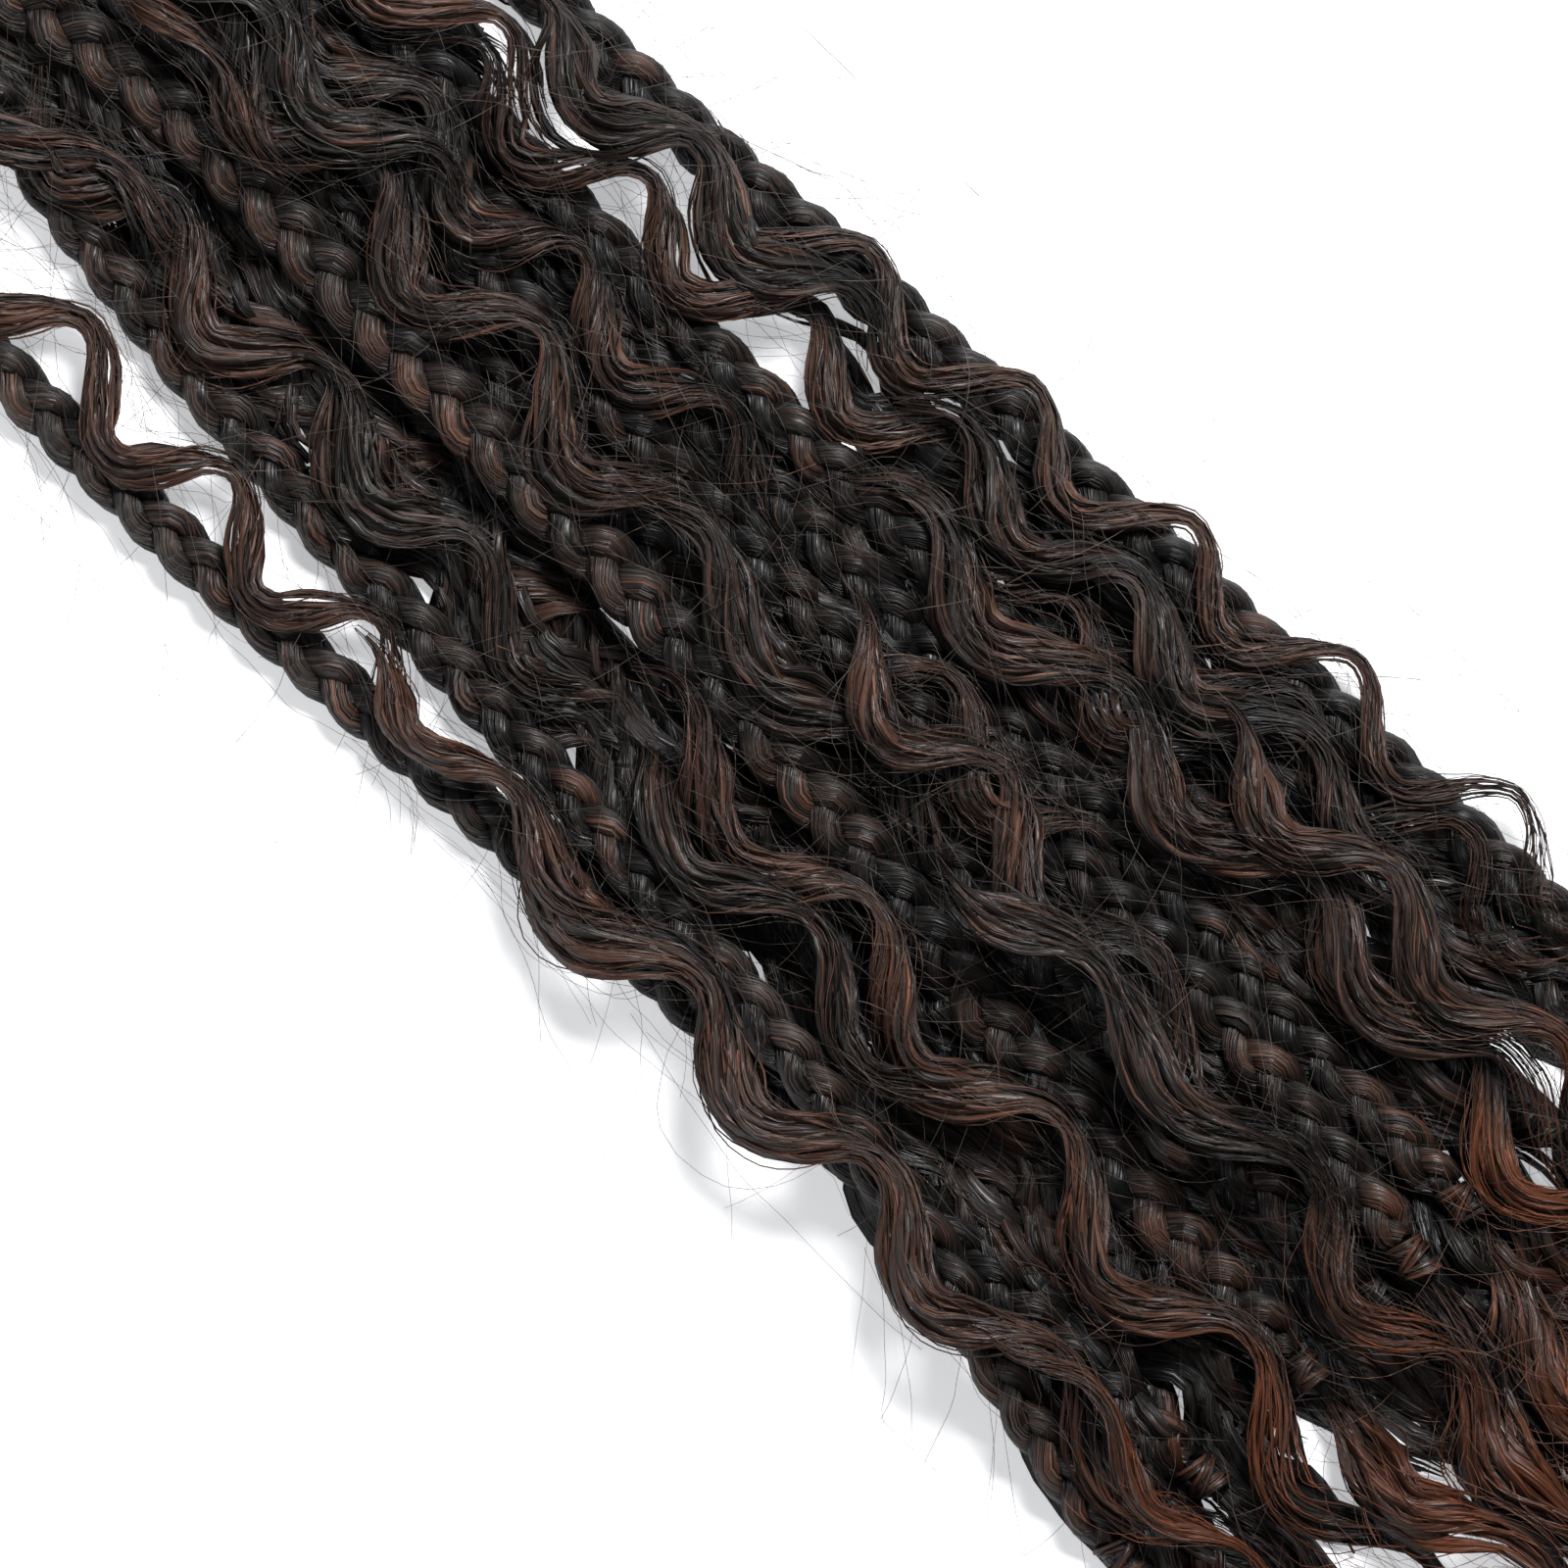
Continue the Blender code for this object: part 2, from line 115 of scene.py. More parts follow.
# Locks that are too fine for solids of their own, in the same columns and laid after the curls, with
# how copper each is
Lock = namedtuple("Lock", Curl._fields + ("warm",))
LOCKS = (
    Lock(0.215, 0.345, -0.420, -0.230, 0.60, 1.10, 0.290, 1.10, 0.90, 0.25),
    Lock(0.232, 0.355, 0.115, 0.060, 0.30, 1.10, 0.290, 1.05, 0.80, 0.45),
    Lock(0.275, 0.615, 0.370, 0.290, 0.88, 0.97, 0.368, 1.15, 1.00, 0.30),
    Lock(0.355, 0.600, 0.735, 0.750, 0.80, 0.97, 0.465, 1.30, 1.10, 0.20),
    Lock(0.543, 0.765, 0.060, -0.060, 0.80, 1.26, 0.579, 1.40, 1.20, 0.20),
    Lock(0.595, 1.040, 0.480, 0.480, 0.86, 1.20, 0.867, 1.15, 1.00, 0.35),
    Lock(0.640, 0.915, 0.190, -0.050, 1.02, 1.06, 0.742, 1.05, 0.90, 0.40),
    Lock(0.745, 0.985, -0.045, -0.070, 0.62, 1.32, 0.826, 1.15, 1.00, 0.25),
    Lock(0.590, 0.835, -0.430, -0.540, 0.85, 1.18, 0.615, 1.00, 0.85, 0.20),
    Lock(0.595, 0.920, 0.690, 0.740, 0.80, 1.06, 0.726, 1.15, 1.00, 0.25),
    Lock(0.900, 1.070, -0.820, -0.880, 0.60, 1.06, 0.950, 0.60, 0.50, 0.55),
    Lock(0.240, 0.420, 0.230, 0.280, 0.75, 1.05, 0.290, 1.20, 1.00, 0.20),
    Lock(0.400, 0.610, -0.300, -0.450, 0.80, 1.00, 0.515, 0.90, 0.80, 0.20),
    Lock(0.780, 1.060, 0.640, 0.600, 0.80, 1.05, 0.890, 1.00, 0.80, 0.35),
    Lock(0.500, 0.680, -0.720, -0.770, 0.50, 0.94, 0.596, 0.90, 0.80, 0.45),
)

# The photograph's view: the middle of its frame on the surface, its turn and its width
VIEW_MIDDLE = (0.2446, -0.0129)
VIEW_TURN = math.radians(43.66)
VIEW_WIDTH = 0.240
VIEW_HEIGHT = 0.010  # how high over the surface the view is that wide
CAMERA_HEIGHT = 2.0
SENSOR = 36.0
SURFACE_SIZE = 1.6

# How far each light stands to the right of the view, up it and above it, its size and its power
LIGHTS = (
    ("key", (0.35, 0.75, 0.95), (0.50, 0.35), 25),
    ("fill", (-0.95, -0.25, 0.8), (0.6, 0.6), 4),
)

# Painted shade, and the fineness of the made fibre
RELIEF_CELLS = 9  # how far round a point its surroundings are measured
BURIED_SHADE = 0.93  # painted shade: how much darker fibre is painted that lies this deep below its surroundings, where little light reaches
BURIED_SHADE_DEPTH = 0.0031
TUCKED_SHADE = 0.76  # painted shade: how much darker the side of a strand is painted than its top, which faces the light
TUCKED_BELOW = -0.15  # a face that looks up less than this is darkest
BRIGHT_ABOVE = 0.80  # and one that looks up more than this isn't darkened
TIP_SHADE = 0.42  # painted shade: how much darker the fibre toward the tips is painted than the rest, for the deep shade among the locks there
TIP_SHADE_FROM = 0.315  # where along the pack this painted shade begins
TIP_SHADE_OVER = 0.075  # over how long a stretch it comes in
STRAND_STEP = 0.0014  # along a plaited strand
LOCK_STEP = 0.0020  # along a loose lock
FILLER_STEP = 0.0034  # along a filler lock
STRAY_STEP = 0.0026  # along a stray hair
HAIR_STEP = 0.0018  # along a hair that leaves a braid
HAIR_RADIUS = 0.000045
HAIR_SIDES = 3
HAIR_LYING = 0.0002  # how low over the surface a hair's middle can lie
HAIR_TONE = 3.6  # how light a single hair is, which shows against the dark
LYING = 0.00005  # how low over the surface fibre can lie
RIDGE_LOBES = (3, 5, 6, 7, 9)  # how many ridges each set has round a tube
RIDGE_DRIFT = 250  # how fast a set winds round the tube, in radians to the metre at most
RIDGE_PHASE = 6.28
MAP_ROOM = 500  # over how many millimetres of the fibre map the tubes are spread
STRIP_EDGE = 0.04  # of a tube's strip of the bake map, free on each side
MM = 0.001
UPWARD = np.array((0.0, 0.0, 1.0))


def smooth_curve(places, values, at):
    """Values of a smooth curve through the given places and values, with no overshoot."""
    places = np.asarray(places, float)
    values = np.asarray(values, float)
    steps = np.diff(places)
    slopes = np.diff(values) / steps
    tangents = np.zeros(len(places))
    same_way = slopes[:-1] * slopes[1:] > 0
    blend = 2 * slopes[:-1] * slopes[1:] / np.where(same_way, slopes[:-1] + slopes[1:], 1.0)
    tangents[1:-1] = np.where(same_way, blend, 0.0)
    tangents[-1] = slopes[-1]
    span = np.clip(np.searchsorted(places, at) - 1, 0, len(steps) - 1)
    t = (at - places[span]) / steps[span]
    rise = values[span + 1] - values[span]
    start = steps[span] * tangents[span]
    end = steps[span] * tangents[span + 1]
    middle = rise * (3 - 2 * t) * t**2
    return values[span] + middle + start * t * (1 - t) ** 2 - end * t**2 * (1 - t)


class Ground:
    """The height of what already lies on the surface, on a square grid."""

    def __init__(self, low, high):
        self.low = np.array(low)
        counts = np.ceil((np.array(high) - self.low) / CELL).astype(int) + 1
        self.height = np.zeros(counts)

    def around(self, x, y, half):
        reach = half + CELL_MARGIN
        first = np.maximum(np.ceil((np.array((x, y)) - reach - self.low) / CELL), 0).astype(int)
        last = np.floor((np.array((x, y)) + reach - self.low) / CELL).astype(int) + 1
        cells = (slice(first[0], last[0]), slice(first[1], last[1]))
        across_x = self.low[0] + CELL * np.arange(first[0], last[0])[:, None] - x
        across_y = self.low[1] + CELL * np.arange(first[1], last[1])[None, :] - y
        share = np.maximum(np.hypot(across_x, across_y) - CELL_MARGIN, 0) / half
        return cells, share

    def height_needed(self, x, y, half, depth):
        cells, share = self.around(x, y, half)
        inside = share < 1
        return (self.height[cells] + depth * (1 - share))[inside].max()

    def cover(self, x, y, z, half, depth):
        cells, share = self.around(x, y, half)
        top = z + depth * np.minimum(1, (1 - share) / (1 - FLAT_TOP)) + GAP
        self.height[cells] = np.where(share < 1, np.maximum(self.height[cells], top), self.height[cells])

    def softened(self):
        """The mean height of what lies within a few millimetres of each cell."""
        height = self.height
        for axis in (0, 1, 0, 1):
            total = np.cumsum(np.insert(height, 0, 0, axis=axis), axis=axis)
            cells = np.arange(height.shape[axis])
            low = np.maximum(cells - RELIEF_CELLS, 0)
            high = np.minimum(cells + RELIEF_CELLS + 1, height.shape[axis])
            share = (high - low)[:, None] if axis == 0 else (high - low)[None, :]
            height = (np.take(total, high, axis=axis) - np.take(total, low, axis=axis)) / share
        soft = Ground.__new__(Ground)
        soft.low = self.low
        soft.height = height
        return soft

    def at(self, x, y):
        """The height of what lies at each of the points (x, y)."""
        columns = np.clip(((x - self.low[0]) / CELL).astype(int), 0, self.height.shape[0] - 1)
        rows = np.clip(((y - self.low[1]) / CELL).astype(int), 0, self.height.shape[1] - 1)
        return self.height[columns, rows]


def windowed(values, along, reach, how):
    lows = np.searchsorted(along, along - reach)
    highs = np.searchsorted(along, along + reach, side="right")
    return np.array([how(values[low:high]) for low, high in zip(lows, highs)])


def lay(ground, x, y, half, depth, reach, covers=True):
    """The height of each ring of a piece that is laid on the ground, which it then covers."""
    rings = np.arange(len(x))
    fine = np.linspace(0, len(x) - 1, (len(x) - 1) * STEPS_PER_RING + 1)
    fine_x, fine_y, fine_half, fine_depth = (np.interp(fine, rings, v) for v in (x, y, half, depth))
    chords = np.hypot(np.diff(x), np.diff(y))
    along = np.interp(fine, rings, np.concatenate(([0.0], np.cumsum(chords))))
    sections = list(zip(fine_x, fine_y, fine_half, fine_depth))
    needed = np.array([ground.height_needed(*section) for section in sections])
    highest = windowed(needed, along, reach + chords.max(), np.max)
    z = windowed(highest, along, reach, np.mean)[::STEPS_PER_RING]
    fine_z = np.interp(fine, rings, z)
    if covers:
        for (at_x, at_y, at_half, at_depth), at_z in zip(sections, fine_z):
            ground.cover(at_x, at_y, at_z, at_half, at_depth)
    return z


def taper(share, ends):
    """Width along a piece whose ends narrow over a share of its length to the two given shares."""
    start_width, end_width, length = ends
    rise = np.clip(share / length, 0, 1)
    fall = np.clip((1 - share) / length, 0, 1)
    return (start_width + (1 - start_width) * rise) * (end_width + (1 - end_width) * fall)


def band_place(index):
    return (index - (len(BRAIDS) - 1) / 2) * PITCH


def braid_across(index, x):
    row = BRAIDS[index]
    held = band_place(index)
    places = (BRAID_TOP - CROSSING, STRAIGHT_RUN) + tuple(share * BRAID_RUN for share in STATIONS)
    across = (held, held) + tuple(share * PACK_HALF for share in row.across)
    return smooth_curve(places, across, x)


def braid_rings(index):
    row = BRAIDS[index]
    count = round((BRAID_RUN - BRAID_TOP) / CROSSING)
    x = np.linspace(BRAID_TOP, BRAID_RUN, count + 1)
    size = 1 + (row.size - 1) * np.clip((x - STRAIGHT_RUN) / STRAIGHT_RUN, 0, 1)
    return x, braid_across(index, x), size * BRAID_WIDTH / 2, size * BRAID_DEPTH / 2


KNOT_LOBES = ((0.0, 0.62), (0.26, 1.0), (0.50, 0.78), (0.76, 0.96), (1.0, 0.58))


def knot_rings(x_end, y_end, slope):
    shares = np.array([share for share, _ in KNOT_LOBES])
    widths = np.array([width for _, width in KNOT_LOBES])
    x = x_end + GAP + shares * KNOT_LENGTH
    y = y_end + slope * (x - x_end)
    return x, y, widths * KNOT_WIDTH / 2, widths * KNOT_DEPTH / 2


def tail_rings(row, x_end, y_end, slope):
    count = round(TAIL_LENGTH / TAIL_WAVE * RINGS_PER_WAVE)
    share = np.linspace(0, 1, count + 1)
    run = share * TAIL_LENGTH
    turn = 2 * math.pi * row.tail_turn
    wave = np.sin(2 * math.pi * run / TAIL_WAVE + turn) - math.sin(turn)
    grown = np.clip(2.5 * share, 0, 1)
    y = y_end + slope * GAP + row.tail_drift * run + row.tail_swing * TAIL_SWING * grown * wave
    width = taper(share, (0.62, 0.28, 0.22))
    return x_end + GAP + run, y, width * TAIL_WIDTH / 2, width * TAIL_DEPTH / 2


Route = namedtuple("Route", "x y z half depth")


def lay_strands(ground):
    """The laid route of each strand's braid, knot and tail, in the order of the braids."""
    strands = {}
    for index in LAYING_ORDER:
        braid = braid_rings(index)
        slope = (braid[1][-1] - braid[1][-2]) / (braid[0][-1] - braid[0][-2])
        knot = knot_rings(braid[0][-1], braid[1][-1], slope)
        tail = tail_rings(BRAIDS[index], knot[0][-1], knot[1][-1], slope)
        x, y, half, depth = (np.concatenate(columns) for columns in zip(braid, knot, tail))
        z = lay(ground, x, y, half, depth, BRAID_REACH)
        whole = Route(x, y, z, half, depth)
        first_knot = len(braid[0])
        first_tail = first_knot + len(knot[0])
        parts = (slice(0, first_knot), slice(first_knot, first_tail), slice(first_tail, None))
        strands[index] = [Route(*(values[part] for values in whole)) for part in parts]
    return strands


def lay_curl(ground, row, start_width=0.40):
    start = row.start * BRAID_RUN
    end = row.end * BRAID_RUN
    wave = row.wave * CURL_WAVE
    count = max(round((end - start) / wave * RINGS_PER_WAVE), 6)
    share = np.linspace(0, 1, count + 1)
    x = start + share * (end - start)
    base = (row.across_start + share * (row.across_end - row.across_start)) * PACK_HALF
    y = base + row.swing * CURL_SWING * np.cos(2 * math.pi * (x - row.crest * BRAID_RUN) / wave)
    ends = taper(share, (start_width, 0.26, min(CURL_TAPER / (end - start), 0.5)))
    size = (row.width_start + share * (row.width_end - row.width_start)) * ends
    half = size * CURL_WIDTH / 2
    depth = size * CURL_DEPTH / 2
    return Route(x, y, lay(ground, x, y, half, depth, CURL_REACH), half, depth)


def lay_out_ground():
    longest = BRAID_RUN * max(1, max(row.end for row in CURLS)) + KNOT_LENGTH + TAIL_LENGTH
    room = CURL_WIDTH + KNOT_WIDTH + TAIL_SWING
    widest = PACK_HALF * 1.2 + TAIL_LENGTH * 0.3 + CURL_SWING + room
    ground = Ground((BRAID_TOP - room, -widest), (longest + room, widest))
    under_band = ((np.array((-BAND_WIDTH, BAND_WIDTH)) / 2 - ground.low[0]) / CELL).astype(int)
    ground.height[under_band[0] - 1 : under_band[1] + 2, :] = BAND_WALL + GAP
    return ground


# Vectors and curves along a route


def unit(vectors):
    return vectors / np.maximum(np.linalg.norm(vectors, axis=-1, keepdims=True), 1e-12)


def length_along(path):
    return np.concatenate(([0.0], np.cumsum(np.linalg.norm(np.diff(path, axis=0), axis=1))))


def axes_along(path, roll=None):
    """Unit vectors along, across and up from a path, rolled about it by the angles given."""
    along = unit(np.gradient(path, axis=0))
    across = unit(np.cross(UPWARD, along))
    up = np.cross(along, across)
    if roll is None:
        return along, across, up
    turned = np.cos(roll)[:, None] * across + np.sin(roll)[:, None] * up
    return along, turned, np.cross(along, turned)


def spaced(route, step):
    """Points every step along a smooth curve through a route, and the half width and depth at each."""
    path = np.stack((route.x, route.y, route.z), axis=1)
    along = length_along(path)
    at = np.linspace(0, along[-1], max(int(along[-1] / step), 4) + 1)
    smooth = np.stack([cubic_curve(along, path[:, i], at) for i in range(3)], axis=1)
    return smooth, np.interp(at, along, route.half), np.interp(at, along, route.depth)


def cubic_curve(places, values, at):
    """Values of a cubic curve through the given places and values."""
    tangents = np.gradient(values, places)
    span = np.clip(np.searchsorted(places, at) - 1, 0, len(places) - 2)
    step = places[span + 1] - places[span]
    t = (at - places[span]) / step
    start = (1 + 2 * t) * (1 - t) ** 2 * values[span] + t * (1 - t) ** 2 * step * tangents[span]
    end = t**2 * (3 - 2 * t) * values[span + 1] + t**2 * (t - 1) * step * tangents[span + 1]
    return start + end


def wander(rng, along, wavelength, strength):
    """A smooth random sway along a route."""
    sway = np.zeros(len(along))
    for harmonic in (1.0, 1.7, 2.9):
        start = rng.uniform(0, 2 * math.pi)
        sway += np.sin(2 * math.pi * along * harmonic / wavelength + start) / harmonic
    return strength * sway / 1.5


def eased(values):
    clipped = np.clip(values, 0, 1)
    return clipped**2 * (3 - 2 * clipped)


# Meshes of fibre


class Fibres:
    """Collects closed tubes of fibre and makes one mesh of them.

    The fibre map holds how far round a tube and along it each corner is, in millimetres. The warm
    and tone values of each point say how copper and how light its fibre is, and the tone holds painted
    shade too: darker where the fibre lies buried, on the sides of a strand and toward the tips.
    """

    def __init__(self, relief):
        self.relief = relief
        self.points = []
        self.corners = []
        self.counts = []
        self.fibre_map = []
        self.bake_map = []
        self.warm = []
        self.tone = []
        self.total = 0

    def tube(self, path, across, half, depth, sides, warm, tone, rng, ridge=0.0, closed=False):
        """One tube: across and up from its path it reaches half and depth."""
        count = len(path)
        ahead = np.roll(path, -1, 0) - np.roll(path, 1, 0) if closed else np.gradient(path, axis=0)
        along = unit(ahead)
        across = unit(across - (across * along).sum(axis=1)[:, None] * along)
        up = np.cross(along, across)
        run = length_along(path)
        turn = 2 * math.pi * np.arange(sides) / sides
        swell = np.ones((count, sides))
        if ridge:
            for lobes in RIDGE_LOBES:
                drift = rng.uniform(-RIDGE_DRIFT, RIDGE_DRIFT) * run[:, None]
                swell += ridge * np.cos(lobes * turn[None, :] + drift + rng.uniform(0, RIDGE_PHASE))
        out = np.cos(turn)[None, :] * np.broadcast_to(half, count)[:, None] * swell
        rise = np.sin(turn)[None, :] * np.broadcast_to(depth, count)[:, None] * swell
        ring = path[:, None] + across[:, None] * out[..., None] + up[:, None] * rise[..., None]
        ring[..., 2] = np.maximum(ring[..., 2], LYING)
        first = self.total
        rows = count if closed else count - 1
        i, j = np.meshgrid(np.arange(rows), np.arange(sides), indexing="ij")
        near = i * sides
        far = (i + 1) % count * sides
        beside = (j + 1) % sides
        quads = np.stack((near + j, near + beside, far + beside, far + j), axis=-1)
        self.points.append(ring.reshape(-1, 3))
        self.corners.append(first + quads.reshape(-1))
        self.counts.append(np.full(rows * sides, 4))
        girth = 2 * math.pi * np.sqrt((np.mean(half) ** 2 + np.mean(depth) ** 2) / 2) / MM
        offset = rng.uniform(0, MAP_ROOM)
        closing = run[-1] + np.linalg.norm(path[0] - path[-1])
        ends = np.append(run, closing)[i + 1] if closed else run[i + 1]
        round_share = np.stack((j, j + 1, j + 1, j), axis=-1) / sides
        run_at = np.stack((run[i], run[i], ends, ends), axis=-1)
        fibre_place = np.stack((round_share * girth + offset, run_at / MM + offset), -1)
        self.fibre_map.append(fibre_place.reshape(-1, 2))
        whole = closing if closed else run[-1]
        self.bake_map.append(np.stack((round_share, run_at / whole), -1).reshape(-1, 2))
        warm = np.broadcast_to(warm, count)
        # Painted shade: fibre that lies below the mean height of its surroundings is painted darker
        depth_under = self.relief.at(path[:, 0], path[:, 1]) - path[:, 2]
        tone = np.broadcast_to(tone, count) * (1 - BURIED_SHADE * eased(depth_under / BURIED_SHADE_DEPTH))
        # Painted shade: fibre toward the tips is painted darker
        tone = tone * (1 - TIP_SHADE * eased((path[:, 0] - TIP_SHADE_FROM) / TIP_SHADE_OVER))
        point_tone = np.repeat(tone, sides)
        # Painted shade: the sides of a strand that face away from the top are painted darker
        if sides > HAIR_SIDES:
            facing_up = across[:, 2:] * np.cos(turn) + up[:, 2:] * np.sin(turn)
            tucked_shade = TUCKED_SHADE * (1 - eased((facing_up - TUCKED_BELOW) / (BRIGHT_ABOVE - TUCKED_BELOW)))
            point_tone = point_tone * (1 - tucked_shade.reshape(-1))
        self.warm.append(np.repeat(warm, sides))
        self.tone.append(point_tone)
        self.total += count * sides
        if not closed:
            for row, at_end in ((0, False), (count - 1, True)):
                place = (offset, offset + run[row] / MM)
                self.cap(path[row], first + row * sides, sides, warm[row], tone[row], place, at_end)

    def cap(self, middle, first, sides, warm, tone, place, at_end):
        """A fan of faces that closes one end of a tube, round the middle of its ring."""
        self.points.append(middle[None])
        self.warm.append([warm])
        self.tone.append([tone])
        around = np.arange(sides)
        beside = (around + 1) % sides
        ring = (around, beside) if at_end else (beside, around)
        fans = np.stack((first + ring[0], first + ring[1], np.full(sides, self.total)), axis=-1)
        self.corners.append(fans.reshape(-1))
        self.counts.append(np.full(sides, 3))
        self.fibre_map.append(np.full((3 * sides, 2), place))
        self.bake_map.append(np.full((3 * sides, 2), (0.5, 1.0 if at_end else 0.0)))
        self.total += 1

    def make(self, name, material, slot, *nodes):
        """The piece made of all the tubes, in place of the given nodes."""
        mesh = bpy.data.meshes.new(name)
        points = np.concatenate(self.points).astype(np.float32)
        corners = np.concatenate(self.corners).astype(np.int32)
        counts = np.concatenate(self.counts)
        mesh.vertices.add(len(points))
        mesh.vertices.foreach_set("co", points.reshape(-1))
        mesh.loops.add(len(corners))
        mesh.loops.foreach_set("vertex_index", corners)
        mesh.polygons.add(len(counts))
        starts = np.concatenate(([0], np.cumsum(counts)[:-1])).astype(np.int32)
        mesh.polygons.foreach_set("loop_start", starts)
        mesh.update(calc_edges=True)
        add_map(mesh, "fibre", np.concatenate(self.fibre_map))
        add_map(mesh, "OFBake", self.bake_places())
        for label, values in (("warm", self.warm), ("tone", self.tone)):
            layer = mesh.attributes.new(label, "FLOAT", "POINT")
            layer.data.foreach_set("value", np.concatenate(values).astype(np.float32))
        return finished(mesh, material, slot, *nodes)

    def bake_places(self):
        """Each tube's own upright strip of the bake map, its caps with it."""
        tubes = []
        for places in self.bake_map:
            if len(places) > 0 and np.ptp(places[:, 0]) > 0:
                tubes.append([places])
            else:
                tubes[-1].append(places)
        width = 1 / len(tubes)
        laid = []
        for i, group in enumerate(tubes):
            for places in group:
                across = (i + STRIP_EDGE + (1 - 2 * STRIP_EDGE) * places[:, 0]) * width
                laid.append(np.stack((across, places[:, 1]), axis=1))
        return np.concatenate(laid)


def add_map(mesh, name, places):
    layer = mesh.uv_layers.new(name=name)
    layer.data.foreach_set("uv", places.astype(np.float32).reshape(-1))


def add_object(name, data):
    made = bpy.data.objects.new(name, data)
    bpy.context.scene.collection.objects.link(made)
    return made


def finished(mesh, material, slot, *nodes):
    mesh.shade_smooth()
    mesh.materials.append(material)
    piece = add_object(mesh.name, mesh)
    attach(piece, "root")
    if nodes:
        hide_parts(*nodes)
    return piece


# Materials


def add_node(tree, kind, **settings):
    node = tree.nodes.new(kind)
    for key, value in settings.items():
        if key in node.inputs:
            node.inputs[key].default_value = value
        else:
            setattr(node, key, value)
    return node


def new_material(name):
    material = bpy.data.materials.new(name)
    material.use_nodes = True
    return material, material.node_tree, material.node_tree.nodes["Principled BSDF"]


def add_bump(tree, shader, height, strength, distance):
    bump = add_node(tree, "ShaderNodeBump", Strength=strength, Distance=distance)
    tree.links.new(height, bump.inputs["Height"])
    tree.links.new(bump.outputs["Normal"], shader.inputs["Normal"])


def math_node(tree, operation, first, second=None):
    node = tree.nodes.new("ShaderNodeMath")
    node.operation = operation
    for socket, value in zip(node.inputs, (first, second)):
        if value is None:
            continue
        if isinstance(value, (int, float)):
            socket.default_value = value
        else:
            tree.links.new(value, socket)
    return node.outputs[0]


def plus(tree, first, second):
    return math_node(tree, "ADD", first, second)


def times(tree, first, second):
    return math_node(tree, "MULTIPLY", first, second)


def mix_colour(tree, share, first, second, blend="MIX"):
    node = tree.nodes.new("ShaderNodeMix")
    node.data_type = "RGBA"
    node.blend_type = blend
    node.clamp_factor = True
    for socket, value in ((node.inputs[0], share), (node.inputs[6], first), (node.inputs[7], second)):
        if isinstance(value, (int, float, tuple)):
            socket.default_value = value
        else:
            tree.links.new(value, socket)
    return node.outputs[2]


def between(tree, value, low, high):
    """How far a value is from low to high, eased, from 0 to 1."""
    node = tree.nodes.new("ShaderNodeMapRange")
    node.interpolation_type = "SMOOTHSTEP"
    node.inputs["From Min"].default_value = low
    node.inputs["From Max"].default_value = high
    tree.links.new(value, node.inputs["Value"])
    return node.outputs[0]


# Shadow is painted shade, the dark between the fibres; the fibre, brown and copper colours are those of
# lit fibre
COLOURS = {
    "Shadow": (0.0010, 0.0008, 0.0007, 1.0),
    "Fibre": (0.0410, 0.0310, 0.0262, 1.0),
    "Brown": (0.130, 0.057, 0.036, 1.0),
    "Copper": (0.410, 0.122, 0.049, 1.0),
}
SHINE = 0.36


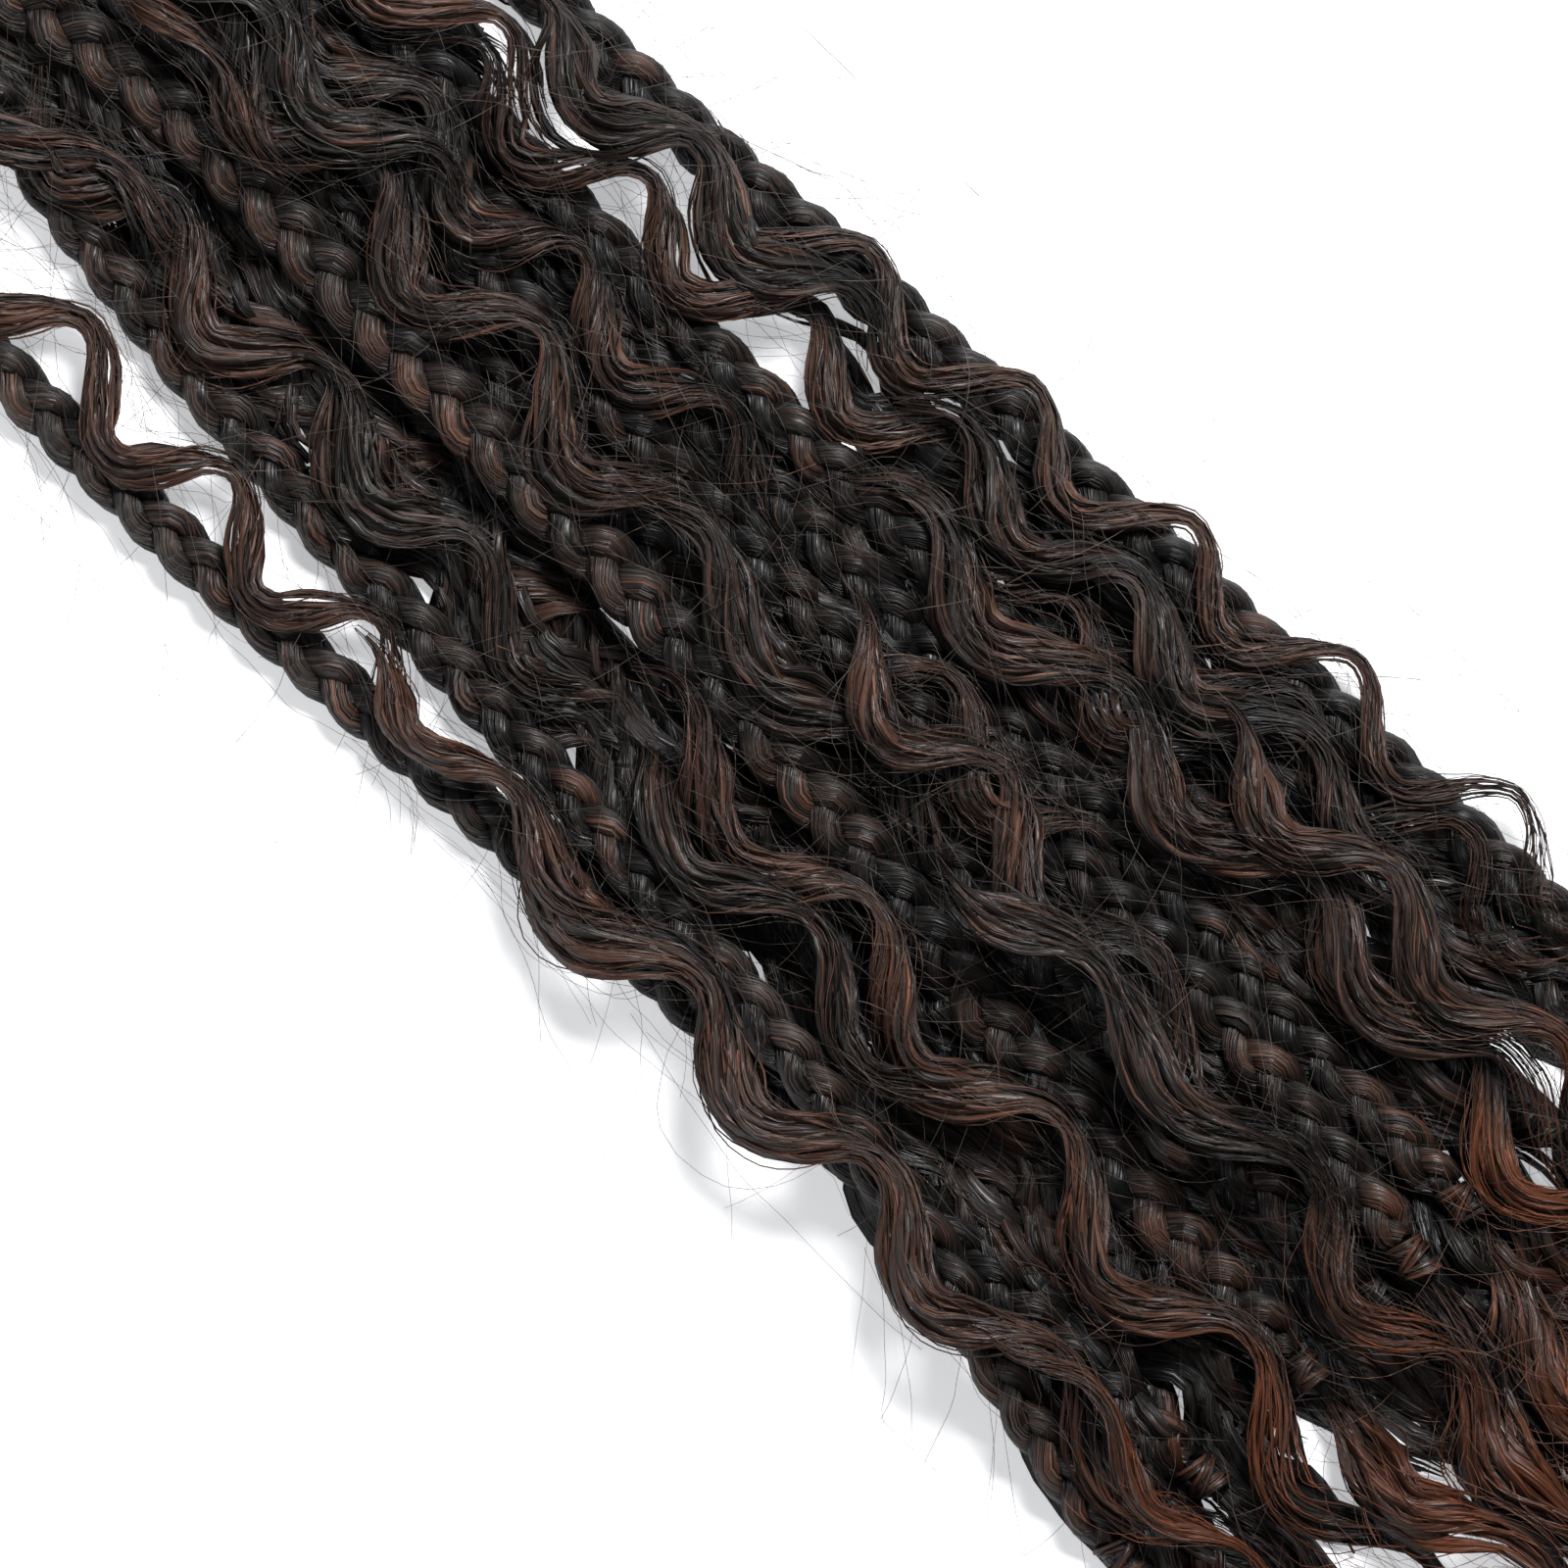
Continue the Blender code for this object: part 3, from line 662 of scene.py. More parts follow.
def make_fibre_group():
    """Streaks of single fibres and of clumps of them, along the fibre map of a piece, with painted shade
    between the fibres and painted light on the crests of the clumps.
    """
    tree = bpy.data.node_groups.new("fibre streaks", "ShaderNodeTree")
    sockets = tree.interface
    for label in COLOURS:
        sockets.new_socket(name=label, in_out="INPUT", socket_type="NodeSocketColor")
    for label, start in (("Fibre Width", 0.3), ("Streak Amount", 0.5), ("Smoothness", 0.42)):
        socket = sockets.new_socket(name=label, in_out="INPUT", socket_type="NodeSocketFloat")
        socket.default_value = start
    sockets.new_socket(name="Colour", in_out="OUTPUT", socket_type="NodeSocketColor")
    for label in ("Roughness", "Height"):
        sockets.new_socket(name=label, in_out="OUTPUT", socket_type="NodeSocketFloat")
    given = tree.nodes.new("NodeGroupInput").outputs
    out = tree.nodes.new("NodeGroupOutput").inputs
    place = tree.nodes.new("ShaderNodeSeparateXYZ")
    tree.links.new(add_node(tree, "ShaderNodeUVMap", uv_map="fibre").outputs[0], place.inputs[0])
    around, along = place.outputs[0], place.outputs[1]

    def streaks(across, width, length, layer, detail, roughness=0.6):
        """Noise drawn out along the fibre, its streaks about width by length in millimetres."""
        joined = tree.nodes.new("ShaderNodeCombineXYZ")
        tree.links.new(math_node(tree, "DIVIDE", across, width), joined.inputs[0])
        tree.links.new(math_node(tree, "DIVIDE", along, length), joined.inputs[1])
        joined.inputs[2].default_value = layer
        noise = add_node(tree, "ShaderNodeTexNoise", Scale=1.0, Detail=detail, Roughness=roughness)
        tree.links.new(joined.outputs[0], noise.inputs["Vector"])
        return noise.outputs["Fac"]

    fibre_width = given["Fibre Width"]
    sway = streaks(around, 5.0, length=9.0, layer=0.0, detail=1.0, roughness=0.5)
    swayed = plus(tree, around, times(tree, sway, 1.1))
    single = between(tree, streaks(swayed, fibre_width, length=16.0, layer=1.0, detail=1.0), 0.42, 0.60)
    clump = streaks(swayed, times(tree, fibre_width, 3.2), length=24.0, layer=11.0, detail=2.0)
    clump = between(tree, clump, 0.34, 0.66)
    dyed = streaks(swayed, times(tree, fibre_width, 1.6), length=55.0, layer=23.0, detail=2.0)
    patch = streaks(swayed, 4.5, length=22.0, layer=37.0, detail=1.0)

    warm = add_node(tree, "ShaderNodeAttribute", attribute_name="warm").outputs["Fac"]
    tone = add_node(tree, "ShaderNodeAttribute", attribute_name="tone").outputs["Fac"]
    # Painted light and shade: single fibres are painted light mostly on the crests of their clumps, and
    # brown and copper fibres too are painted toward the Shadow colour between them
    lift = times(tree, single, plus(tree, times(tree, clump, 0.65), 0.35))
    coloured = mix_colour(tree, lift, given["Shadow"], given["Fibre"])
    wanted = plus(tree, dyed, times(tree, math_node(tree, "SUBTRACT", patch, 0.5), 0.3))
    brown_share = between(tree, plus(tree, wanted, times(tree, warm, given["Streak Amount"])), 0.60, 0.77)
    copper_share = between(tree, plus(tree, warm, times(tree, dyed, 0.9)), 1.05, 1.45)
    for label, share, dark in (("Brown", brown_share, 0.35), ("Copper", copper_share, 0.30)):
        deep = mix_colour(tree, dark, given["Shadow"], given[label])
        coloured = mix_colour(tree, share, coloured, mix_colour(tree, lift, deep, given[label]))
    # The tone attribute multiplies in the fibre's own lightness together with its painted shade
    toned = mix_colour(tree, 1.0, coloured, tone, blend="MULTIPLY")
    tree.links.new(toned, out["Colour"])
    tree.links.new(plus(tree, given["Smoothness"], times(tree, single, 0.16)), out["Roughness"])
    tree.links.new(plus(tree, times(tree, single, 0.45), times(tree, clump, 0.9)), out["Height"])
    return tree


# Widths in millimetres of the fibre map, bump in metres
Look = namedtuple("Look", "name fibre_width streak_amount smoothness bump")
BRAIDED = Look("braided hair", 0.25, 0.40, 0.36, 0.00026)
CURLED = Look("curled hair", 0.22, 0.50, 0.36, 0.00026)
COPPER_TAIL = Look("copper tail hair", 0.22, 0.65, 0.36, 0.00026)
STRAY = Look("stray hair", 0.30, 0.60, 0.40, 0.00005)


def make_hair(look, group):
    material, tree, shader = new_material(look.name)
    fibre = tree.nodes.new("ShaderNodeGroup")
    fibre.node_tree = group
    for label, colour in COLOURS.items():
        fibre.inputs[label].default_value = colour
    fibre.inputs["Fibre Width"].default_value = look.fibre_width
    fibre.inputs["Streak Amount"].default_value = look.streak_amount
    fibre.inputs["Smoothness"].default_value = look.smoothness
    tree.links.new(fibre.outputs["Colour"], shader.inputs["Base Color"])
    tree.links.new(fibre.outputs["Roughness"], shader.inputs["Roughness"])
    add_bump(tree, shader, fibre.outputs["Height"], 1.0, look.bump)
    shader.inputs["Specular IOR Level"].default_value = SHINE
    return material


# Braids


STRAND_BREADTH = 0.47  # of the braid's half width
STRAND_THICKNESS = 0.56  # of its half depth
STRAND_SIDES = 12
STRAND_LEAN = 0.50  # how far a strand rolls as it passes between the others
STRAND_TONE = 1.95
CROSSING_HEIGHT = 0.9  # of the depth left over by a strand, when it crosses over the others
PLAIT_COPPER_FROM = 0.310  # where along the pack the plaits turn more copper
PLAIT_COPPER_OVER = 0.06
BRAID_HAIRS = 20


def plait(fibres, route, index, rng):
    """Three strands that cross in turn over a braid's middle."""
    step = route.x[1] - route.x[0]
    crest = route.x[0] + ((1 - index) % 2) * step
    path, half, depth = spaced(route, STRAND_STEP)
    _, across, _ = axes_along(path)
    run = length_along(path)
    joined = eased(run / 0.004) * eased((run[-1] - run) / 0.005)
    pull = wander(rng, run, 0.060, 0.04)
    for strand in range(3):
        turn = math.pi * (path[:, 0] - crest) / (3 * step) + 2 * math.pi * strand / 3 + math.pi / 2
        turn = turn + wander(rng, run, 0.034, 0.10)
        broad = STRAND_BREADTH * half * (1 + wander(rng, run, 0.023, 0.07)) * (0.75 + 0.25 * joined)
        thick = STRAND_THICKNESS * depth * (1 + wander(rng, run, 0.019, 0.06)) * (0.75 + 0.25 * joined)
        outward = (half - broad) * np.sin(turn) * (1 + pull) * (0.6 + 0.4 * joined)
        over = CROSSING_HEIGHT * (depth - thick) * np.sin(2 * turn) * (0.3 + 0.7 * joined)
        course = path + across * outward[:, None] + UPWARD * over[:, None]
        lean = -STRAND_LEAN * np.cos(3 * turn)
        width_way = across * np.cos(lean)[:, None] - UPWARD * np.sin(lean)[:, None]
        warm = np.clip(rng.uniform(0.04, 0.38) + wander(rng, run, 0.045, 0.12), 0, 1)
        warm = warm + 0.40 * eased((path[:, 0] - PLAIT_COPPER_FROM) / PLAIT_COPPER_OVER)
        tone = STRAND_TONE + wander(rng, run, 0.030, 0.22)
        fibres.tube(course, width_way, broad, thick, STRAND_SIDES, warm, tone, rng, ridge=0.022)


def stray_along(fibres, path, half, depth, count, rng, warm, reach=1.5):
    """Single hairs that leave a lock or braid, run beside it and come back."""
    run = length_along(path)
    for _ in range(count):
        span = rng.uniform(0.020, 0.055)
        first = rng.uniform(0, max(run[-1] - span, 0.001))
        inside = (run >= first) & (run <= first + span)
        if inside.sum() < 6:
            continue
        part = path[inside]
        share = np.linspace(0, 1, len(part))
        _, across, up = axes_along(part)
        side = rng.choice((-1.0, 1.0))
        arch = np.sin(math.pi * share)
        away = side * half[inside] * (0.7 + reach * rng.uniform(0.2, 1.0) * arch**1.2)
        rise = depth[inside] * (0.75 + rng.uniform(0, 0.9) * arch)
        sway = wander(rng, run[inside], 0.022, 0.0005)
        course = part + across * (away + sway)[:, None] + up * rise[:, None]
        course[:, 2] = np.maximum(course[:, 2], HAIR_LYING)
        fibres.tube(course, across, HAIR_RADIUS, HAIR_RADIUS, HAIR_SIDES, warm[inside], HAIR_TONE, rng)


# Locks


SPREAD = 0.45  # how much broader a lock is where it turns one way, and narrower the other way
SINK = 0.0009  # how much lower its straight parts lie than those turns, and its other turns by twice this
LOCK_SUNK = 0.0010  # how far a fine lock sinks between those it is laid on
LOCK_LYING = 0.0003  # how low over the surface the underside of a lock's route can lie
TAIL_COPPER_FROM = 0.366  # where along the pack a tail turns copper
CURL_COPPER_FROM = 0.332
BROADEST = 0.0022  # the half width of a fine strand at most
FLATNESS = 0.62  # how thick it is at most, of its width
WISP_TONE = 1.15  # how much lighter the wisps are than their lock
# How a lock is made: its strands, how far it banks in a turn, how freely its strands wander, the sides
# of each strand, its wisps and hairs, and the step along it
Kind = namedtuple("Kind", "strands bank wild sides wisps hairs step")
TAIL_LOCK = Kind(16, 0.6, 0.28, 5, 12, 14, LOCK_STEP)
CURL_LOCK = Kind(15, 0.7, 0.30, 5, 10, 10, LOCK_STEP)
FINE_LOCK = Kind(13, 0.7, 0.30, 5, 8, 8, LOCK_STEP)
LOW_LOCK = Kind(4, 0.7, 0.24, 4, 0, 0, FILLER_STEP)
HIGH_LOCK = Kind(5, 0.7, 0.24, 5, 2, 1, FILLER_STEP)
# A lock's middle line and the vectors, sizes and colour along it
Spine = namedtuple("Spine", "path across up share half depth warm own")


def lock(fibres, route, kind, warm, tone, rng):
    """A flat bundle of fine strands: broad and high where it turns one way, narrow and low the other."""
    path, half, depth = spaced(route, kind.step)
    run = length_along(path)
    bend = np.gradient(np.arctan2(np.gradient(path[:, 1]), np.gradient(path[:, 0])))
    bend = np.convolve(bend, np.ones(5) / 5, mode="same")
    bend = np.clip(bend / (np.percentile(np.abs(bend), 90) + 1e-9), -1, 1)
    roll = kind.bank * bend + wander(rng, run, 0.05, 0.25)
    _, across, up = axes_along(path, roll)
    half = half * (1.20 + SPREAD * bend)
    path = path + UPWARD * (SINK * (bend - 1))[:, None]
    own = rng.uniform(-0.08, 0.08)
    spine = Spine(path, across, up, run / run[-1], half, depth, warm(path[:, 0]), own)
    width = np.minimum(half * 1.75 / kind.strands**0.85, BROADEST)
    for spot in rng.permutation(np.linspace(-0.72, 0.72, kind.strands)):
        sway = spot + wander(rng, run, 0.060, kind.wild)
        lift = rng.uniform(-0.3, 0.3) + wander(rng, run, 0.040, 0.22) + 0.35 * (1 - np.abs(spot))
        size = rng.uniform(0.8, 1.3)
        broad = width * size * (1 + wander(rng, run, 0.03, 0.15))
        thick = depth * 0.55 * (1 + wander(rng, run, 0.03, 0.12))
        add_strand(fibres, spine, sway, lift, broad, thick, kind.sides, tone, rng)
    for _ in range(kind.wisps):
        sway = rng.uniform(-1.0, 1.0) + wander(rng, run, 0.045, 0.30)
        lift = rng.uniform(0.3, 1.1) + wander(rng, run, 0.030, 0.40)
        broad = np.full(len(path), rng.uniform(0.00010, 0.00022))
        add_strand(fibres, spine, sway, lift, broad, broad * 0.7, HAIR_SIDES, tone * WISP_TONE, rng)
    stray_along(fibres, path, half, depth, kind.hairs, rng, spine.warm - 0.4)


def add_strand(fibres, spine, sway, lift, broad, thick, sides, tone, rng):
    """One fine strand of a lock, off its middle by sway of its half width and lift of its depth."""
    share = spine.share
    count = len(share)
    loose = 1 + 0.6 * eased((share - 0.78) / 0.22)
    first = int(count * rng.uniform(0, 0.10))
    kept = slice(first, max(int(count * (1 - rng.uniform(0, 0.14))), first + 6))
    beside = spine.across * (sway * spine.half * loose)[:, None]
    course = spine.path + beside + spine.up * (lift * spine.depth)[:, None]
    ends = eased((share - share[first]) / 0.12 + 0.08) * (1 - eased((share - 0.60) / 0.42)) ** 0.8
    broad = np.maximum(broad * np.maximum(ends, 0.05), 0.00009)
    thick = np.maximum(thick * np.maximum(ends, 0.10), 0.00008)
    thick = np.minimum(thick, np.maximum(FLATNESS * broad, 0.00012))
    course[:, 2] = np.maximum(course[:, 2], 0.8 * thick)
    run = length_along(spine.path)
    warm = spine.warm + wander(rng, run, 0.05, 0.08) + rng.uniform(-0.14, 0.14) + spine.own
    tone = tone * (0.95 + wander(rng, run, 0.035, 0.10) + rng.uniform(-0.14, 0.14))
    course, across, broad, thick = course[kept], spine.across[kept], broad[kept], thick[kept]
    fibres.tube(course, across, broad, thick, sides, warm[kept], tone[kept], rng, ridge=0.02)


def warm_curl(base, onset):
    """How copper a curl is along the pack: a base, and full past its onset."""

    def at(x):
        return base + (1.05 - base) * eased((x - onset) / 0.05)

    return at


# Knots, loops and band


KNOT_STEP = 0.0006
KNOT_CORE = 0.62  # how thick the core of a knot is, of the knot
CORE_SIDES = 14
CORE_TONE = 0.7
KNOT_WARM = 0.68
KNOT_WRAPS = ((0.22, 0.80, 0.26), (0.48, 0.92, -0.34), (0.72, 0.84, 0.22))  # place, size, tilt
TURNS_OF_A_WRAP = 4
TURN_SPACING = 0.00042
TURN_SIZE = (0.00046, 0.00036)  # the half width and depth of one turn
TURN_STEPS = 22
TURN_SIDES = 5
TURN_TONE = 0.95
TURN_LYING = 0.0004


def wrap_knot(fibres, route, rng, warm):
    """The end of a braid gathered under three wraps of its own fibre, four turns each."""
    path, half, depth = spaced(route, KNOT_STEP)
    _, across, up = axes_along(path)
    run = length_along(path)
    core = KNOT_CORE * (0.35 + 0.65 * eased(run / 0.002) * eased((run[-1] - run) / 0.003))
    core_warm = warm - 0.2
    core_size = (half * core, depth * core)
    fibres.tube(path, across, *core_size, CORE_SIDES, core_warm, CORE_TONE, rng, ridge=0.05)
    angle = 2 * math.pi * np.arange(TURN_STEPS) / TURN_STEPS
    along = unit(path[-1] - path[0])
    for place, size, tilt in KNOT_WRAPS:
        at = int(place * (len(path) - 1))
        for turn in range(TURNS_OF_A_WRAP):
            width = half.max() * size * rng.uniform(0.66, 0.86)
            height = depth.max() * size * rng.uniform(0.72, 0.88)
            slant = (tilt + rng.uniform(-0.14, 0.14)) * width * np.cos(angle + rng.uniform(-0.5, 0.5))
            slant = slant + (turn - (TURNS_OF_A_WRAP - 1) / 2) * TURN_SPACING
            ring = path[at] + across[at] * (width * np.cos(angle))[:, None]
            ring = ring + up[at] * (height * np.sin(angle))[:, None]
            ring = ring + along * slant[:, None]
            ring[:, 2] = np.maximum(ring[:, 2], TURN_LYING)
            flat = np.broadcast_to(along, ring.shape)
            look = (warm + rng.uniform(-0.35, 0.1), TURN_TONE)
            fibres.tube(ring, flat, *TURN_SIZE, TURN_SIDES, *look, rng, ridge=0.08, closed=True)


def loop_route(index, braid_height):
    radius = LOOP_STRAND / 2
    turn = (LOOP_EYE_WIDTH + LOOP_STRAND) / 2
    straight = LOOP_EYE_LENGTH - LOOP_EYE_WIDTH
    neck = BRAID_TOP - GAP - radius
    tip = neck - straight - 2 * turn
    points = []
    for end, first_angle in ((neck - turn, -90), (tip + turn, 90)):
        for step in range(13):
            angle = math.radians(first_angle + 15 * step)
            points.append((end + turn * math.cos(angle), turn * math.sin(angle)))
        for step in range(1, 8):
            way = 1 if first_angle < 0 else -1
            points.append((end - way * straight * step / 8, way * turn))
    ring = np.array(points)
    share = (ring[:, 0] - tip) / (neck - tip)
    z = radius + share * (braid_height - radius)
    return np.stack((ring[:, 0], ring[:, 1] + band_place(index), z), axis=1)


LOOP_TURNS = 7
LOOP_STRANDS = 5
LOOP_STRAND_SIZE = (0.00052, 0.00046)  # the half width and depth of one strand
LOOP_STRAND_SIDES = 6
LOOP_STRAND_LYING = 0.0005


def wind_loop(fibres, index, braid_height, rng):
    """A crochet loop twisted from five fine strands."""
    path = loop_route(index, braid_height)
    run = length_along(path)
    along = unit(np.roll(path, -1, 0) - np.roll(path, 1, 0))
    across = unit(np.cross(UPWARD, along))
    up = np.cross(along, across)
    for strand in range(LOOP_STRANDS):
        angle = 2 * math.pi * (LOOP_TURNS * run / (run[-1] + 0.0009) + strand / LOOP_STRANDS)
        out = 0.00058 * np.cos(angle)
        rise = 0.00052 * np.sin(angle)
        course = path + across * out[:, None] + up * rise[:, None]
        course[:, 2] = np.maximum(course[:, 2], LOOP_STRAND_LYING)
        size = (*LOOP_STRAND_SIZE, LOOP_STRAND_SIDES)
        fibres.tube(course, across, *size, 0.2, 1.0, rng, ridge=0.03, closed=True)


def band_outline(half_width, low, high, radius, steps):
    """Points round an upright rounded oblong, as (y, z) pairs."""
    corners = (
        (half_width - radius, high - radius, 0),
        (radius - half_width, high - radius, 90),
        (radius - half_width, low + radius, 180),
        (half_width - radius, low + radius, 270),
    )
    points = []
    for y, z, first_angle in corners:
        for step in range(steps + 1):
            angle = math.radians(first_angle + 90 * step / steps)
            points.append((y + radius * math.cos(angle), z + radius * math.sin(angle)))
    return np.array(points)


BAND_RIBS = 8
COLUMNS_OF_A_RIB = 6
BAND_RIB_HEIGHT = 0.00022
CORNER_STEPS = 6
BAND_STEP = 0.002


def weave_band(material):
    """The ribbed elastic band: a woven strip round the tops of the braids."""
    inner_half = -band_place(0) + BRAID_WIDTH / 2 + GAP
    inner_top = BAND_WALL + 2 * GAP + BRAID_DEPTH
    outer_size = (inner_half + BAND_WALL, 0.0, inner_top + BAND_WALL, BAND_CORNER + BAND_WALL)
    outer = band_outline(*outer_size, CORNER_STEPS)
    inner = band_outline(inner_half, BAND_WALL, inner_top, BAND_CORNER, CORNER_STEPS)
    both = np.stack((outer, inner), axis=1)
    walls = []
    for here, following in zip(both, np.roll(both, -1, axis=0)):
        pieces = max(int(np.linalg.norm(following[0] - here[0]) / BAND_STEP), 1)
        walls += [here + step / pieces * (following - here) for step in range(pieces)]
    outer, inner = np.array(walls).transpose(1, 0, 2)
    way = unit(inner - outer)
    columns = BAND_RIBS * COLUMNS_OF_A_RIB
    x = np.linspace(-BAND_WIDTH / 2, BAND_WIDTH / 2, columns + 1)
    turn = 2 * math.pi * np.arange(columns + 1) / COLUMNS_OF_A_RIB + math.pi
    sunk = BAND_RIB_HEIGHT * (0.5 + 0.5 * np.cos(turn))
    profile = [(at, dip, True) for at, dip in zip(x, sunk)] + [(at, 0.0, False) for at in x[::-2]]
    points, faces, places = [], [], []
    count = len(profile)
    rounds = len(outer)
    for i in range(rounds):
        n = (i + 1) % rounds
        for j, (at, dip, outside) in enumerate(profile):
            y, z = outer[i] + way[i] * dip if outside else inner[i]
            points.append((at, y, z))
            k = (j + 1) % count
            faces.append((i * count + j, n * count + j, n * count + k, i * count + k))
            places.append(((i, j), (i + 1, j), (i + 1, j + 1), (i, j + 1)))
    mesh = bpy.data.meshes.new("elastic_band")
    mesh.from_pydata(points, [], faces)
    flat = np.array(places, float).reshape(-1, 2) / (rounds, count)
    add_map(mesh, "OFBake", flat)
    girth = 2 * (2 * inner_half + inner_top) / MM
    add_map(mesh, "fibre", flat * (girth, 2.2 * BAND_WIDTH / MM))
    return finished(mesh, material, "elastic", "tie_band")


THREAD_WIDTH = 0.55  # in millimetres, as the next
ROW_WIDTH = 0.75
ELASTIC_DARK = (0.006, 0.006, 0.007, 1.0)
ELASTIC_LIGHT = (0.050, 0.049, 0.052, 1.0)


def make_elastic():
    """Black woven elastic: rows of fine crosswise threads between its ribs."""
    material, tree, shader = new_material("woven elastic")
    place = tree.nodes.new("ShaderNodeSeparateXYZ")
    tree.links.new(add_node(tree, "ShaderNodeUVMap", uv_map="fibre").outputs[0], place.inputs[0])
    threads = math_node(tree, "SINE", times(tree, place.outputs[0], 2 * math.pi / THREAD_WIDTH))
    rows = math_node(tree, "SINE", times(tree, place.outputs[1], 2 * math.pi / ROW_WIDTH))
    weave = between(tree, times(tree, threads, rows), -0.8, 0.8)
    fuzz = add_node(tree, "ShaderNodeTexNoise", Scale=1.6, Detail=3.0)
    tree.links.new(place.outputs[0], fuzz.inputs["Vector"])
    colour = mix_colour(tree, times(tree, weave, fuzz.outputs["Fac"]), ELASTIC_DARK, ELASTIC_LIGHT)
    tree.links.new(colour, shader.inputs["Base Color"])
    tree.links.new(plus(tree, times(tree, weave, -0.15), 0.82), shader.inputs["Roughness"])
    add_bump(tree, shader, weave, 0.8, 0.00012)
    return material


# Filler locks in the hollows between braids


# Between which two braids, from where to where in shares of the braids' run, how many locks, how wide
# in millimetres, how much they swing, how high they reach in millimetres and how light they are painted;
# the lower-lying ones are painted darker, as painted shade deep between the braids
Hollow = namedtuple("Hollow", "left right start end count width swing top tone")
LOW_HOLLOWS = (
    Hollow(0, 1, 0.64, 0.90, 5, 5.0, 0.5, 2.4, 0.45),
    Hollow(1, 2, 0.10, 1.00, 44, 9.0, 0.6, 2.6, 0.35),
    Hollow(2, 3, 0.10, 1.02, 24, 7.5, 0.5, 2.6, 0.35),
    Hollow(3, 4, 0.10, 1.04, 22, 8.5, 0.6, 2.6, 0.35),
    Hollow(4, 5, 0.10, 1.04, 16, 8.0, 0.6, 2.6, 0.35),
    Hollow(5, 6, 0.10, 1.04, 18, 8.0, 0.6, 2.6, 0.35),
    Hollow(6, 7, 0.64, 1.00, 12, 8.0, 0.8, 2.4, 0.45),
    Hollow(6, 7, 0.10, 0.36, 7, 7.0, 0.6, 2.4, 0.45),
    Hollow(1, 2, 0.84, 1.02, 6, 9.0, 0.4, 2.6, 0.35),
    Hollow(2, 3, 0.82, 1.06, 6, 8.0, 0.4, 2.6, 0.35),
    Hollow(3, 4, 0.86, 1.06, 5, 8.0, 0.4, 2.6, 0.35),
)
HIGH_HOLLOWS = (
    Hollow(0, 1, 0.66, 1.00, 4, 4.0, 0.7, 4.2, 0.66),
    Hollow(1, 2, 0.12, 1.00, 22, 6.5, 0.9, 4.6, 0.66),
    Hollow(2, 3, 0.14, 1.02, 14, 5.5, 0.7, 4.6, 0.66),
    Hollow(3, 4, 0.14, 1.05, 20, 6.5, 0.9, 5.0, 0.66),
)
FAR_HOLLOWS = (
    Hollow(4, 5, 0.14, 1.05, 14, 6.0, 0.8, 5.0, 0.66),
    Hollow(5, 6, 0.14, 1.05, 14, 6.0, 0.8, 5.0, 0.66),
    Hollow(6, 7, 0.62, 1.02, 12, 6.0, 0.9, 4.6, 0.66),
    Hollow(6, 7, 0.10, 0.30, 5, 6.0, 0.8, 4.6, 0.66),
    Hollow(1, 2, 1.00, 1.10, 4, 6.0, 0.8, 3.2, 0.30),
    Hollow(2, 3, 1.00, 1.12, 5, 6.0, 0.8, 3.2, 0.30),
    Hollow(3, 4, 1.00, 1.12, 4, 6.0, 0.8, 3.2, 0.30),
    Hollow(4, 5, 1.00, 1.12, 4, 6.0, 0.8, 3.2, 0.30),
    Hollow(5, 6, 1.00, 1.12, 5, 6.0, 0.8, 3.2, 0.30),
)
FILLERS = (
    ("filler_locks_low", LOW_HOLLOWS, LOW_LOCK),
    ("filler_locks_high", HIGH_HOLLOWS, HIGH_LOCK),
    ("filler_locks_far", FAR_HOLLOWS, HIGH_LOCK),
)


def filler_route(hollow, turn, rng):
    """The route of one filler lock down a hollow, at a height up to the hollow's top."""
    length = rng.uniform(0.045, 0.110)
    spread = (turn + rng.uniform(0.1, 0.9)) / hollow.count
    middle = (hollow.start + spread * (hollow.end - hollow.start)) * BRAID_RUN
    wave = rng.uniform(0.030, 0.048)
    count = max(round(length / wave * RINGS_PER_WAVE), 6)
    share = np.linspace(0, 1, count + 1)
    x = middle + (share - 0.5) * length
    across = np.minimum(x, BRAID_RUN)
    left = braid_across(hollow.left, across)
    right = braid_across(hollow.right, across)
    spot = rng.uniform(0.15, 0.85) + share * rng.uniform(-0.3, 0.3)
    swing = hollow.swing * rng.uniform(0.35, 0.95) * CURL_SWING
    phase = rng.uniform()
    y = left + spot * (right - left) + swing * np.cos(2 * math.pi * (x / wave + phase))
    width = hollow.width * MM * rng.uniform(0.6, 1.2) * taper(share, (0.15, 0.15, 0.35))
    half = width / 2
    depth = np.minimum(half * 0.5, 0.0016)
    height = hollow.top * MM * rng.uniform(0.45, 1.0)
    z = height * (0.75 + 0.25 * np.sin(2 * math.pi * (2 * x / wave + phase)))
    return Route(x, y, np.maximum(z, depth + LOCK_LYING), half, depth)


def fill_hollows(relief, hollows, kind, rng):
    fibres = Fibres(relief)
    for hollow in hollows:
        for turn in range(hollow.count):
            route = filler_route(hollow, turn, rng)
            warm = warm_curl(rng.uniform(0.10, 0.50), rng.uniform(0.330, 0.370))
            lock(fibres, route, kind, warm, hollow.tone, rng)
    return fibres


# Stray hairs over the whole pack


STRAYS = 840
STRAY_EDGE = 1.22  # how far out they reach, of the half width of the pack
SMOOTHED = 3  # over how many points on each side a stray hair's height is evened out


